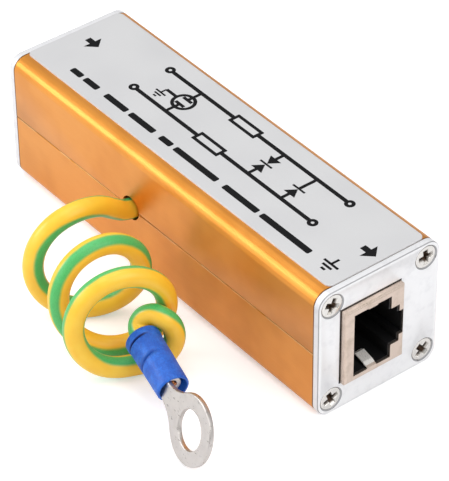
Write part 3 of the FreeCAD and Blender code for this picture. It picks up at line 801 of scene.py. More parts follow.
class Mesher:
    """Collects surfaces worked out as arrays, and makes one piece of them."""

    def __init__(self, name: str) -> None:
        """Start without surfaces.

        Args:
            name: the piece's name.
        """
        self.name = name
        self.points: list[Array] = []
        self.faces: list[Array] = []
        self.count = 0

    def grid(self, points: Array, wrap_rows: bool = False, wrap_columns: bool = False,
             flip: bool = False) -> None:
        """Add a surface given on a grid; neighbours on the grid share a face.

        Args:
            points: rows by columns by 3, in millimetres.
            wrap_rows: whether the last row joins the first.
            wrap_columns: whether the last column joins the first.
            flip: whether faces turn the other way round.
        """
        rows, columns = points.shape[:2]
        row = np.arange(rows if wrap_rows else rows - 1)
        column = np.arange(columns if wrap_columns else columns - 1)
        i, j = np.meshgrid(row, column, indexing="ij")
        i2, j2 = (i + 1) % rows, (j + 1) % columns
        quads = np.stack([i * columns + j, i2 * columns + j, i2 * columns + j2, i * columns + j2], -1)
        quads = quads.reshape(-1, 4) + self.count
        self.faces.append(quads[:, ::-1] if flip else quads)
        self.points.append(points.reshape(-1, 3))
        self.count += rows * columns

    def cap(self, ring: Array, flip: bool = False) -> None:
        """Close a ring of points with a fan round its middle."""
        middle = np.broadcast_to(ring.mean(0), ring.shape)
        self.grid(np.stack([middle, ring]), wrap_columns=True, flip=flip)

    def piece(self) -> bpy.types.Object:
        """The collected surfaces as one closed, smooth-shaded object at the origin.

        Returns:
            The new object, linked to the scene.
        """
        mesh = bpy.data.meshes.new(self.name)
        points, faces = np.concatenate(self.points) * MM, np.concatenate(self.faces)
        mesh.from_pydata(points.tolist(), [], faces.tolist())
        mesh.validate()
        merge_doubles(mesh)
        shade(mesh)
        return add_object(self.name, mesh)


def dress(piece: bpy.types.Object, material: bpy.types.Material) -> None:
    """Give a piece one material in all its slots.

    Args:
        piece: the piece.
        material: its finish.
    """
    if not piece.data.materials:
        piece.data.materials.append(material)
    for number in range(len(piece.data.materials)):
        piece.data.materials[number] = material


class Slot(Enum):
    """Names of material slots of the record, one for each kind of new piece."""

    CASE = "case_gold"
    PLATE = "plate_aluminium"
    SCREW = "screw_steel"
    WIRE = "wire_yellow_green"
    SLEEVE = "sleeve_blue"
    TERMINAL = "terminal_tin"
    COPPER = "core_copper"
    LABEL = "label_silver"


def fasten(piece: bpy.types.Object, material: bpy.types.Material, slot: Slot,
           *nodes: str) -> bpy.types.Object:
    """Dress a new piece, fix it to the body and hide the CAD nodes that it stands for.

    Args:
        piece: the new piece.
        material: its finish.
        slot: the kind of piece, as a slot of the record; not used.
        nodes: the CAD nodes that it replaces.

    Returns:
        The piece.
    """
    dress(piece, material)
    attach(piece, "root")
    if nodes:
        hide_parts(*nodes)
    LOG.info("%s stands for %s", piece.name, ", ".join(nodes) or "no node")
    return piece


# Case

@dataclass
class Casing:
    """Shells and end plates with finished edges.

    Each is a merged copy of its CAD node. The joint between shells and plates moves outwards, so that the
    plates look as thin as sheet, and the outer edge of each plate's face is rounded.
    """

    joint: float = 40.0
    joint_shown: float = 40.8
    near: float = 0.01
    face: float = 42.0
    half_width: float = 12.5
    rim_share: float = 0.9
    square_degrees: float = 75.0
    rounding: float = 0.22
    rounding_segments: int = 3

    def copy(self, node: bpy.types.Object, name: str) -> bpy.types.Object:
        """Merged copy of a node with the joint at its shown place.

        Args:
            node: the CAD node.
            name: the new piece's name.

        Returns:
            The new piece.
        """
        mesh = node.data.copy()
        mesh.name = name
        points = read_points(mesh)
        at_joint = np.abs(np.abs(points[:, 0]) - self.joint * MM) < self.near * MM
        points[at_joint, 0] = np.sign(points[at_joint, 0]) * self.joint_shown * MM
        mesh.vertices.foreach_set("co", points.ravel())
        merge_doubles(mesh)
        return add_object(name, mesh)

    def round_face(self, mesh: bpy.types.Mesh) -> None:
        """Round the outer edge of a plate's face: those of its edges that are square and near the rim.

        Args:
            mesh: the plate.
        """
        work = bmesh.new()
        work.from_mesh(mesh)
        chosen = []
        for edge in work.edges:
            middle = (edge.verts[0].co + edge.verts[1].co) / 2 / MM
            reach = max(abs(middle.y), abs(middle.z - self.half_width)) / self.half_width
            on_face = min(abs(vertex.co.x) for vertex in edge.verts) / MM > self.face - self.near
            square = edge.calc_face_angle(0.0) > math.radians(self.square_degrees)
            if on_face and square and reach > self.rim_share:
                chosen.append(edge)
        bmesh.ops.bevel(work, geom=chosen, offset=self.rounding * MM, segments=self.rounding_segments,
                        profile=0.5, affect="EDGES", clamp_overlap=True)
        work.to_mesh(mesh)
        work.free()

    def build(self, nodes: dict[str, bpy.types.Object], gold: AnodisedExtrusion, clear: ClearPlate) -> None:
        """Make the two shells and the two end plates.

        Args:
            nodes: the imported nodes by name.
            gold: the shells' finish.
            clear: the plates' finish.
        """
        gold_material, clear_material = gold.material(), clear.material()
        for half in ("lower", "upper"):
            shell = self.copy(nodes[f"{half}_shell"], f"{half}_half")
            shade(shell.data)
            fasten(shell, gold_material, Slot.CASE, f"{half}_shell")
        for end in ("out", "in"):
            plate = self.copy(nodes[f"end_plate_{end}"], f"plate_{end}")
            self.round_face(plate.data)
            shade(plate.data)
            fasten(plate, clear_material, Slot.PLATE, f"end_plate_{end}")


@dataclass
class Screws:
    """Four countersunk screws of each end, with rolled rims and tapered cross recesses."""

    face: float = 42.0
    place_y: float = 9.7
    heights: Pair = (2.8, 22.2)
    setback: float = 0.1
    head_radius: float = 2.2
    head_depth: float = 1.1
    shank_radius: float = 1.2
    length: float = 9.0
    tip_chamfer: float = 0.3
    rim: float = 0.42
    rim_fall: float = 0.16
    recess_reach: float = 1.45
    recess_half_width: float = 0.5
    wall_lean: float = 0.3
    recess_depth: float = 1.15
    floor_power: float = 0.6
    turns: tuple[float, ...] = (20, 65, 40, 5)
    rings: int = 56
    around: int = 120

    def recess(self, across: Array, up: Array) -> Array:
        """Depth of the cross recess at each place of the head.

        Each arm is deepest in the screw's middle and rises to nothing at its reach; its walls lean in
        from its half width. The recess is the deeper of the two arms.

        Args:
            across: places along the first arm.
            up: places along the second arm.

        Returns:
            The depths.
        """
        depth = np.zeros_like(across)
        for along, side in ((across, up), (up, across)):
            floor = np.clip(1 - np.abs(along) / self.recess_reach, 0, 1) ** self.floor_power
            wall = np.clip((self.recess_half_width - np.abs(side)) / self.wall_lean, 0, 1)
            depth = np.maximum(depth, np.minimum(floor, wall))
        return self.recess_depth * depth

    def screw(self, y: float, z: float, turn: float) -> Array:
        """Surface of one screw: the head's disc from its middle to its rim, then cone, shank and tip.

        The disc falls towards its rim by the square of the share of the rim's width that is passed.

        Args:
            y: the screw's place across the case.
            z: the screw's height.
            turn: how far the recess is turned, in degrees.

        Returns:
            Rows by columns by 3.
        """
        angle = np.linspace(0, TAU, self.around, endpoint=False)
        grid_r, grid_a = np.meshgrid(np.linspace(0, self.head_radius, self.rings), angle, indexing="ij")
        away = grid_a - math.radians(turn)
        fall = np.clip((grid_r - self.head_radius + self.rim) / self.rim, 0, 1) ** 2 * self.rim_fall
        top = self.face - self.setback
        height = top - fall - self.recess(grid_r * np.cos(away), grid_r * np.sin(away))
        disc = np.stack([height, y + grid_r * np.cos(grid_a), z + grid_r * np.sin(grid_a)], -1)
        tip = self.face - self.length
        shank = [(top - self.head_depth, self.shank_radius), (tip + self.tip_chamfer, self.shank_radius),
                 (tip, self.shank_radius - self.tip_chamfer), (tip, 0.0)]
        return np.concatenate([disc, revolve(shank, self.around) + np.array([0.0, y, z])])

    def build(self, finish: ScrewSteel) -> None:
        """Make the screws of both ends; the IN end is the OUT end turned about the upright.

        Args:
            finish: the screws' finish.
        """
        material = finish.material()
        places = [(y, z) for y in (-self.place_y, self.place_y) for z in self.heights]
        for end, turned in (("out", 1.0), ("in", -1.0)):
            mesher = Mesher(f"cross_screws_{end}")
            for (y, z), turn in zip(places, self.turns):
                mesher.grid(self.screw(y, z, turn) * np.array([turned, turned, 1.0]), wrap_columns=True)
            fasten(mesher.piece(), material, Slot.SCREW, f"screws_{end}")


# Top label

@dataclass
class Label:
    """Silver foil along the top face, with a generic line diagram, marks and plain bars printed on it."""

    low: Pair = (-40.72, -9.55)
    high: Pair = (40.72, 10.45)
    corner: float = 1.1
    edge: float = 0.06
    edge_steps: tuple[Pair, ...] = ((0.0, 1.0), (0.3, 0.3), (1.0, 0.0), (3.0, 0.0))
    under: float = 25.0
    top: float = 25.25
    ink_sunk: float = 0.01
    ink_proud: float = 0.012
    line: float = 0.8
    thin: float = 0.65
    upper_line: float = 6.6
    lower_line: float = -1.2
    line_ends: Pair = (-20.1, 25.8)
    ring_places: Pair = (-21.0, 26.7)
    ring_radius: float = 0.95
    box_low: Pair = (-3.6, -1.25)
    box_high: Pair = (3.2, 1.25)
    box_corners: Pair = (0.15, 0.05)
    tube_place: float = -12.2
    tube_radius: float = 2.3
    tube_lead: float = 2.4
    tube_earth: float = 1.3
    electrode_rise: float = 0.85
    electrode_half: float = 1.15
    double_clamp: float = 10.0
    single_clamp: float = 18.5
    clamp_bar_half: float = 1.5
    clamp_bar: float = 0.4
    clamp_reach: float = 2.1
    clamp_half_base: float = 1.35
    arrow_tips: Pair = (-34.3, 39.6)
    arrow_line: float = 1.1
    arrow_head: Pair = (1.8, 1.9)
    arrow_length: float = 3.2
    arrow_stem: float = 1.2
    earth_place: Pair = (36.6, -3.9)
    earth_size: float = 1.7
    earth_bars: Point = (1.0, 0.64, 0.28)
    earth_width: float = 0.28
    earth_spacing: float = 0.5
    bars: tuple[Pair, ...] = ((-31.9, -29.0), (-28.2, -24.4), (-22.2, -16.2), (-15.3, -8.6), (-6.9, -3.8),
                              (-2.9, 8.4), (10.2, 19.0), (19.9, 32.3))
    bar_height: float = 1.25
    bar_line: float = -6.3
    bar_corner: float = 0.3
    bar_corner_steps: int = 4
    printing: Mesher = field(default_factory=lambda: Mesher("label_print"))

    @property
    def middle(self) -> float:
        """Place midway between the diagram's two lines."""
        return (self.upper_line + self.lower_line) / 2

    def rounded(self, low: Pair, high: Pair, corner: float, steps: int = 9) -> Array:
        """Outline of a rectangle with rounded corners: four quarter circles joined by straight runs.

        Args:
            low: lowest x and y.
            high: highest x and y.
            corner: radius of the corners.
            steps: points of each quarter circle.

        Returns:
            The outline's (x, y) places.
        """
        left, right, near, far = low[0] + corner, high[0] - corner, low[1] + corner, high[1] - corner
        arcs = []
        for number, (x, y) in enumerate(((right, far), (left, far), (left, near), (right, near))):
            angle = np.linspace(0, math.pi / 2, steps) + number * math.pi / 2
            arcs.append(np.stack([x + corner * np.cos(angle), y + corner * np.sin(angle)], -1))
        return np.concatenate(arcs)

    def foil(self, finish: SilverFoil) -> None:
        """The foil: its outline rises from the case, turns in by a rounded edge and is closed by caps.

        Each step of the edge is how far the outline stands in and below the top, in widths of the edge.

        Args:
            finish: the foil's finish.
        """
        rows = [at_height(self.rounded(self.low, self.high, self.corner), self.under)]
        for inwards, down in self.edge_steps:
            inset = inwards * self.edge
            low, high = np.add(self.low, inset), np.subtract(self.high, inset)
            outline = self.rounded(low, high, self.corner - inset)
            rows.append(at_height(outline, self.top - down * self.edge))
        mesher = Mesher("label_foil")
        mesher.grid(np.stack(rows), wrap_columns=True)
        mesher.cap(rows[0])
        mesher.cap(rows[-1], flip=True)
        fasten(mesher.piece(), finish.material(), Slot.LABEL, "label")

    def patch(self, outline: Array) -> None:
        """Print a filled outline as a thin plate with a cap above and below.

        Args:
            outline: its (x, y) places.
        """
        rows = [at_height(outline, self.top - self.ink_sunk), at_height(outline, self.top + self.ink_proud)]
        self.printing.grid(np.stack(rows), wrap_columns=True)
        self.printing.cap(rows[0])
        self.printing.cap(rows[1], flip=True)

    def loop(self, outer: Array, inner: Array) -> None:
        """Print the band between two outlines with as many points each.

        Args:
            outer: the outer outline's (x, y) places.
            inner: the inner outline's.
        """
        low, high = self.top - self.ink_sunk, self.top + self.ink_proud
        rows = [at_height(inner, low), at_height(outer, low), at_height(outer, high),
                at_height(inner, high)]
        self.printing.grid(np.stack(rows), wrap_rows=True, wrap_columns=True)

    def stroke(self, x: Pair, y: Pair, width: float) -> None:
        """Print an upright or level line from x[0], y[0] to x[1], y[1].

        Args:
            x: the two ends' x.
            y: the two ends' y.
            width: the line's width.
        """
        grow_x, grow_y = (width / 2, 0.0) if x[0] == x[1] else (0.0, width / 2)
        left, right = min(x) - grow_x, max(x) + grow_x
        near, far = min(y) - grow_y, max(y) + grow_y
        self.patch(np.array([(right, far), (left, far), (left, near), (right, near)]))

    def circle(self, x: float, y: float, radius: float, steps: int = 40) -> Array:
        """Outline of a circle."""
        angle = np.linspace(0, TAU, steps, endpoint=False)
        return np.stack([x + radius * np.cos(angle), y + radius * np.sin(angle)], -1)

    def ring(self, x: float, y: float, radius: float) -> None:
        """Print a circle's line, radius being its outer one."""
        self.loop(self.circle(x, y, radius), self.circle(x, y, radius - self.thin))

    def earth(self, x: float, y: float, size: float) -> None:
        """Print an earth sign: a stem from y down onto three bars, each shorter than the one above.

        Args:
            x: the stem's place.
            y: the stem's upper end.
            size: the stem's length, and half the widest bar's.
        """
        width = self.earth_width * size
        self.stroke((x, x), (y, y - size), width)
        for number, half in enumerate(self.earth_bars):
            bar = y - size * (1 + self.earth_spacing * number)
            self.stroke((x - half * size, x + half * size), (bar, bar), width)

    def arrow(self, x: float, y: float) -> None:
        """Print an arrow along X.

        Args:
            x: its tip's place along the label.
            y: its place across the label.
        """
        length, half = self.arrow_head
        self.stroke((x - self.arrow_length, x - length), (y, y), self.arrow_stem)
        self.patch(np.array([(x, y), (x - length, y + half), (x - length, y - half)]))

    def clamp(self, x: float, both: bool) -> None:
        """Print a clamp between the lines: one or two filled triangles against a bar.

        Args:
            x: its place.
            both: whether a triangle points at the bar from above too.
        """
        half_bar = self.clamp_bar / 2
        tips = (1.0, -1.0) if both else (-1.0,)
        ends = (x - self.clamp_bar_half, x + self.clamp_bar_half)
        self.stroke(ends, (self.middle, self.middle), self.clamp_bar)
        for side in tips:
            base = self.middle + self.clamp_reach * side
            self.patch(np.array([(x, self.middle + half_bar * side), (x - self.clamp_half_base, base),
                                 (x + self.clamp_half_base, base)]))
        for side, line in ((1.0, self.upper_line), (-1.0, self.lower_line)):
            start = self.middle + (self.clamp_reach if side in tips else half_bar) * side
            self.stroke((x, x), (start, line - side * self.line / 2), self.thin)

    def tube(self, x: float) -> None:
        """Print a gas tube between the lines: a circle with two electrodes, and its earth lead.

        Args:
            x: the circle's middle.
        """
        left = x - self.tube_radius
        self.ring(x, self.middle, self.tube_radius)
        for side, line in ((1.0, self.upper_line), (-1.0, self.lower_line)):
            bar = self.middle + self.electrode_rise * side
            stem = (bar + side * self.thin / 2, self.middle + side * (self.tube_radius - self.thin))
            lead = (self.middle + side * self.tube_radius, line - side * self.line / 2)
            self.stroke((x - self.electrode_half, x + self.electrode_half), (bar, bar), self.thin)
            self.stroke((x, x), stem, self.thin)
            self.stroke((x, x), lead, self.thin)
        self.stroke((left - self.tube_lead, left), (self.middle, self.middle), self.thin)
        self.earth(left - self.tube_lead, self.middle, self.tube_earth)

    def print_ink(self, finish: Ink) -> None:
        """The whole print, as one thin piece.

        Args:
            finish: the ink.
        """
        for line in (self.upper_line, self.lower_line):
            self.stroke((self.line_ends[0], self.box_low[0]), (line, line), self.line)
            self.stroke((self.box_high[0], self.line_ends[1]), (line, line), self.line)
            for x in self.ring_places:
                self.ring(x, line, self.ring_radius)
            low, high = np.array(self.box_low) + (0.0, line), np.array(self.box_high) + (0.0, line)
            self.loop(self.rounded(low, high, self.box_corners[0]),
                      self.rounded(low + self.thin, high - self.thin, self.box_corners[1]))
        self.tube(self.tube_place)
        self.clamp(self.double_clamp, True)
        self.clamp(self.single_clamp, False)
        for tip in self.arrow_tips:
            self.arrow(tip, self.arrow_line)
        self.earth(*self.earth_place, self.earth_size)
        near, far = self.bar_line - self.bar_height / 2, self.bar_line + self.bar_height / 2
        for start, end in self.bars:
            bar = self.rounded((start, near), (end, far), self.bar_corner, self.bar_corner_steps)
            self.patch(bar)
        fasten(self.printing.piece(), finish.material(), Slot.LABEL)

    def build(self, foil: SilverFoil, ink: Ink) -> None:
        """Make the foil and its print."""
        self.foil(foil)
        self.print_ink(ink)


# Ring terminal

@dataclass
class Terminal:
    """Insulated ring terminal: blue sleeve, tinned barrel with the ring, copper strands."""

    entry_place: Point = (16.15, -27.98, 8.18)
    axis_direction: Point = (0.9694, -0.2077, -0.131)
    face_direction: Point = (-0.1576, -0.9353, 0.3168)
    sleeve_length: float = 11.9
    entry_radius: float = 3.05
    front_radius: float = 2.8
    roll: float = 0.35
    front_roll: Pair = (0.5, 0.12)
    collar: Point = (1.5, 0.12, 6.0)
    slit: Point = (1.5, 0.16, 0.55)
    slit_facing: Pair = (2.2, 1.1)
    crease: Point = (5.6, 0.2, 0.38)
    crease_facing: Pair = (2.0, 0.6)
    crease_slant: Pair = (0.55, 60.0)
    pinches: tuple[Pair, ...] = ((3.6, 1.3), (8.0, 1.5))
    pinch_depth: float = 0.22
    facing_degrees: float = 100.0
    flat_degrees: float = 95.0
    sleeve_rows: int = 150
    sleeve_around: int = 96
    lining: tuple[Pair, ...] = ((0.0, 2.4), (-0.3, 2.35), (-2.2, 2.15), (-2.25, 1.0), (-11.4, 1.0),
                                (-11.5, 1.85), (-11.9, 1.92))
    insulated: float = 5.4
    barrel_radius: float = 1.8
    barrel_wall: float = 0.85
    barrel_setback: float = 0.9
    barrel_chamfer: Pair = (0.12, 0.1)
    barrel_lap: float = 0.1
    barrel_around: int = 64
    tongue_thickness: float = 0.9
    tongue_half_width: float = 1.7
    tongue_back: float = -1.6
    edge_radius: float = 0.18
    edge_steps: int = 5
    neck_fillet: float = 7.0
    ring_distance: float = 9.2
    ring_radius: float = 5.94
    hole_radius: float = 3.35
    outline_steps: tuple[int, int, int] = (12, 40, 80)
    strand_pack: float = 3.05
    strand_lap: float = 0.4
    strand_stagger: Point = (0.15, 2.4, 0.1)
    strand_end: Pair = (0.06, 0.7)
    strand_around: int = 14
    pieces: list[bpy.types.Object] = field(default_factory=list)

    def axis(self) -> Array:
        """Direction from the sleeve's entry to the ring."""
        return unit(np.array(self.axis_direction))

    def entry(self) -> Array:
        """Middle of the sleeve's entry."""
        return np.array(self.entry_place)

    def placed(self, points: Array) -> Array:
        """Points of the terminal's own frame, X along it from the sleeve's front and Z its face.

        Args:
            points: points in the terminal's own frame.

        Returns:
            The points in the model's frame.
        """
        axis = self.axis()
        face = np.array(self.face_direction)
        face = unit(face - axis * np.dot(face, axis))
        front = self.entry() + axis * self.sleeve_length
        return front + points @ np.stack([axis, np.cross(face, axis), face])

    def turned_to(self, facing: Array, gain: Pair) -> Array:
        """How far a dent reaches round the sleeve: facing * gain - offset, held between 0 and 1."""
        return np.clip(facing * gain[0] - gain[1], 0, 1)

    def sleeve(self) -> bpy.types.Object:
        """Blue sleeve.

        Its outside is a cone from the entry's radius to the front's. The rolled entry is a quarter
        circle, and behind it a collar steps down and fades out. The slit behind the collar, the slanted
        crease and the flats of the crimping tool are shallow dents in the radius, each a bell curve
        across its own line, present over a part of the way round. The lining gives its inside, as
        (along, radius) from its front.

        Returns:
            The piece.
        """
        x = self.sleeve_length * (np.linspace(0, 1, self.sleeve_rows) - 1)
        angle = np.linspace(0, TAU, self.sleeve_around, endpoint=False)
        grid_x, grid_a = np.meshgrid(x, angle, indexing="ij")
        from_entry = grid_x + self.sleeve_length
        narrowing = (self.front_radius - self.entry_radius) / self.sleeve_length
        radius = self.entry_radius + narrowing * from_entry
        rolled = 1 - np.clip(from_entry / self.roll, 0, 1)
        radius = radius - self.roll * (1 - np.sqrt(1 - rolled ** 2))
        radius = radius - self.front_roll[0] * self.roll * bell(grid_x, self.front_roll[1])
        step_at, step, fading = self.collar
        radius = radius - step / (1 + np.exp(-(from_entry - step_at) / step)) * np.exp(-from_entry / fading)
        facing = 0.5 + 0.5 * np.cos(grid_a - math.radians(self.facing_degrees))
        slit_at, slit_width, slit_depth = self.slit
        slit = bell(from_entry - slit_at, slit_width) * self.turned_to(facing, self.slit_facing)
        crease_at, crease_width, crease_depth = self.crease
        rise, turn = self.crease_slant
        slanted = from_entry - crease_at - rise * np.sin(grid_a - math.radians(turn))
        crease = bell(slanted, crease_width) * self.turned_to(facing, self.crease_facing)
        pinch = sum(bell(from_entry - at, width) for at, width in self.pinches)
        flat = np.clip(np.cos(2 * (grid_a - math.radians(self.flat_degrees))), 0, 1) ** 2
        radius = radius - slit_depth * slit - crease_depth * crease - self.pinch_depth * pinch * flat
        outside = np.stack([grid_x, radius * np.cos(grid_a), radius * np.sin(grid_a)], -1)
        inside = revolve(self.lining, self.sleeve_around)
        mesher = Mesher("earth_sleeve")
        mesher.grid(self.placed(np.concatenate([outside, inside])), wrap_rows=True, wrap_columns=True)
        finish = SleeveVinyl(self.entry_place, tuple(self.axis()), self.face_direction, slit_at, crease_at)
        return fasten(mesher.piece(), finish.material(), Slot.SLEEVE, "terminal_sleeve")

    def outline(self) -> tuple[Array, Array]:
        """Outline of tongue and ring with the direction out of it at each point.

        The half outline runs along the tongue, then along the concave fillet's arc, then along the
        ring's arc to its tip, each in its own number of steps; the other half is its mirror image.

        Returns:
            The outline's (x, y) places and the directions.
        """
        half = self.tongue_half_width
        tongue_steps, fillet_steps, ring_steps = self.outline_steps
        rise = half + self.neck_fillet
        gap = math.sqrt((self.ring_radius + self.neck_fillet) ** 2 - rise ** 2)
        fillet_x = self.ring_distance - gap
        swing = math.atan2(gap, rise)
        turn = np.linspace(0, swing, fillet_steps)
        fillet_out = np.stack([-np.sin(turn), np.cos(turn)], -1)
        fillet = np.array([fillet_x, rise]) - self.neck_fillet * fillet_out
        sweep = np.linspace(math.pi / 2 + swing, 0, ring_steps)[1:]
        ring_out = np.stack([np.cos(sweep), np.sin(sweep)], -1)
        ring = np.array([self.ring_distance, 0.0]) + self.ring_radius * ring_out
        back_x = np.linspace(self.tongue_back, fillet_x, tongue_steps)[:-1]
        back = np.stack([back_x, np.full(len(back_x), half)], -1)
        points = np.concatenate([back, fillet, ring])
        outs = np.concatenate([np.tile([0.0, 1.0], (len(back_x), 1)), fillet_out, ring_out])
        mirror = np.array([1.0, -1.0])
        return (np.concatenate([points, points[-2::-1] * mirror]),
                np.concatenate([outs, outs[-2::-1] * mirror]))

    def ring(self, finish: PlatedSheet) -> bpy.types.Object:
        """Stamped ring and tongue, with the rolled barrel behind it.

        The plate is a closed band: at each point of the outline it runs from the hole's edge over the
        top to the outline and back underneath, and both edges are rounded by a quarter circle.

        Args:
            finish: the tinned metal.

        Returns:
            The piece.
        """
        points, outs = self.outline()
        centre = np.array([self.ring_distance, 0.0])
        bearing = unit(points - centre)
        hole = centre + self.hole_radius * bearing
        top, low = self.barrel_radius, self.barrel_radius - self.tongue_thickness
        rising = np.linspace(0, math.pi / 2, self.edge_steps)
        falling = rising[::-1]
        bands = []
        for rim, out, face, side, turns in (
                (hole, -bearing, top, 1, rising), (points, outs, top, 1, falling),
                (points, outs, low, -1, rising), (hole, -bearing, low, -1, falling)):
            for turn in turns:
                inset = self.edge_radius * (1 - math.cos(turn))
                drop = self.edge_radius * (1 - math.sin(turn))
                bands.append(at_height(rim - out * inset, face - side * drop))
        mesher = Mesher("ring_lug")
        mesher.grid(self.placed(np.stack(bands)), wrap_rows=True, wrap_columns=True)
        back = -self.sleeve_length + self.insulated + self.barrel_lap
        front = -self.barrel_setback
        bore = self.barrel_radius - self.barrel_wall
        outer, inner = self.barrel_chamfer
        barrel = [(back, bore), (back, self.barrel_radius), (front - outer, self.barrel_radius),
                  (front, self.barrel_radius - outer), (front, bore + inner), (front - inner, bore)]
        mesher.grid(self.placed(revolve(barrel, self.barrel_around)), wrap_rows=True, wrap_columns=True)
        return fasten(mesher.piece(), finish.material(), Slot.TERMINAL, "ring_terminal")

    def strands(self, finish: PlatedSheet) -> bpy.types.Object:
        """Copper strands in the barrel: seven thin rods, one in the middle and six round it.

        Their tips stand further out or in by a sine of the strand's number.

        Args:
            finish: the copper.

        Returns:
            The piece.
        """
        thin = (self.barrel_radius - self.barrel_wall) / self.strand_pack
        back = -self.sleeve_length + self.insulated + self.strand_lap
        stagger, pace, ahead = self.strand_stagger
        chamfer, worn = self.strand_end
        angle = np.arange(6) * TAU / 6
        outer = 2 * thin * np.stack([np.cos(angle), np.sin(angle)], -1)
        middles = np.concatenate([np.zeros((1, 2)), outer])
        mesher = Mesher("copper_strands")
        for number, (y, z) in enumerate(middles):
            tip = -self.barrel_setback + stagger * math.sin(pace * number) + ahead
            profile = [(back, 0.0), (back, thin), (tip - chamfer, thin), (tip, thin * worn), (tip, 0.0)]
            rod = revolve(profile, self.strand_around) + np.array([0.0, y, z])
            mesher.grid(self.placed(rod), wrap_columns=True)
        return fasten(mesher.piece(), finish.material(), Slot.COPPER, "earth_core_tail")

    def build(self, tin: PlatedSheet, copper: PlatedSheet) -> None:
        """Make the sleeve, the ring with its barrel, and the strands."""
        self.pieces = [self.sleeve(), self.ring(tin), self.strands(copper)]


# Earth wire

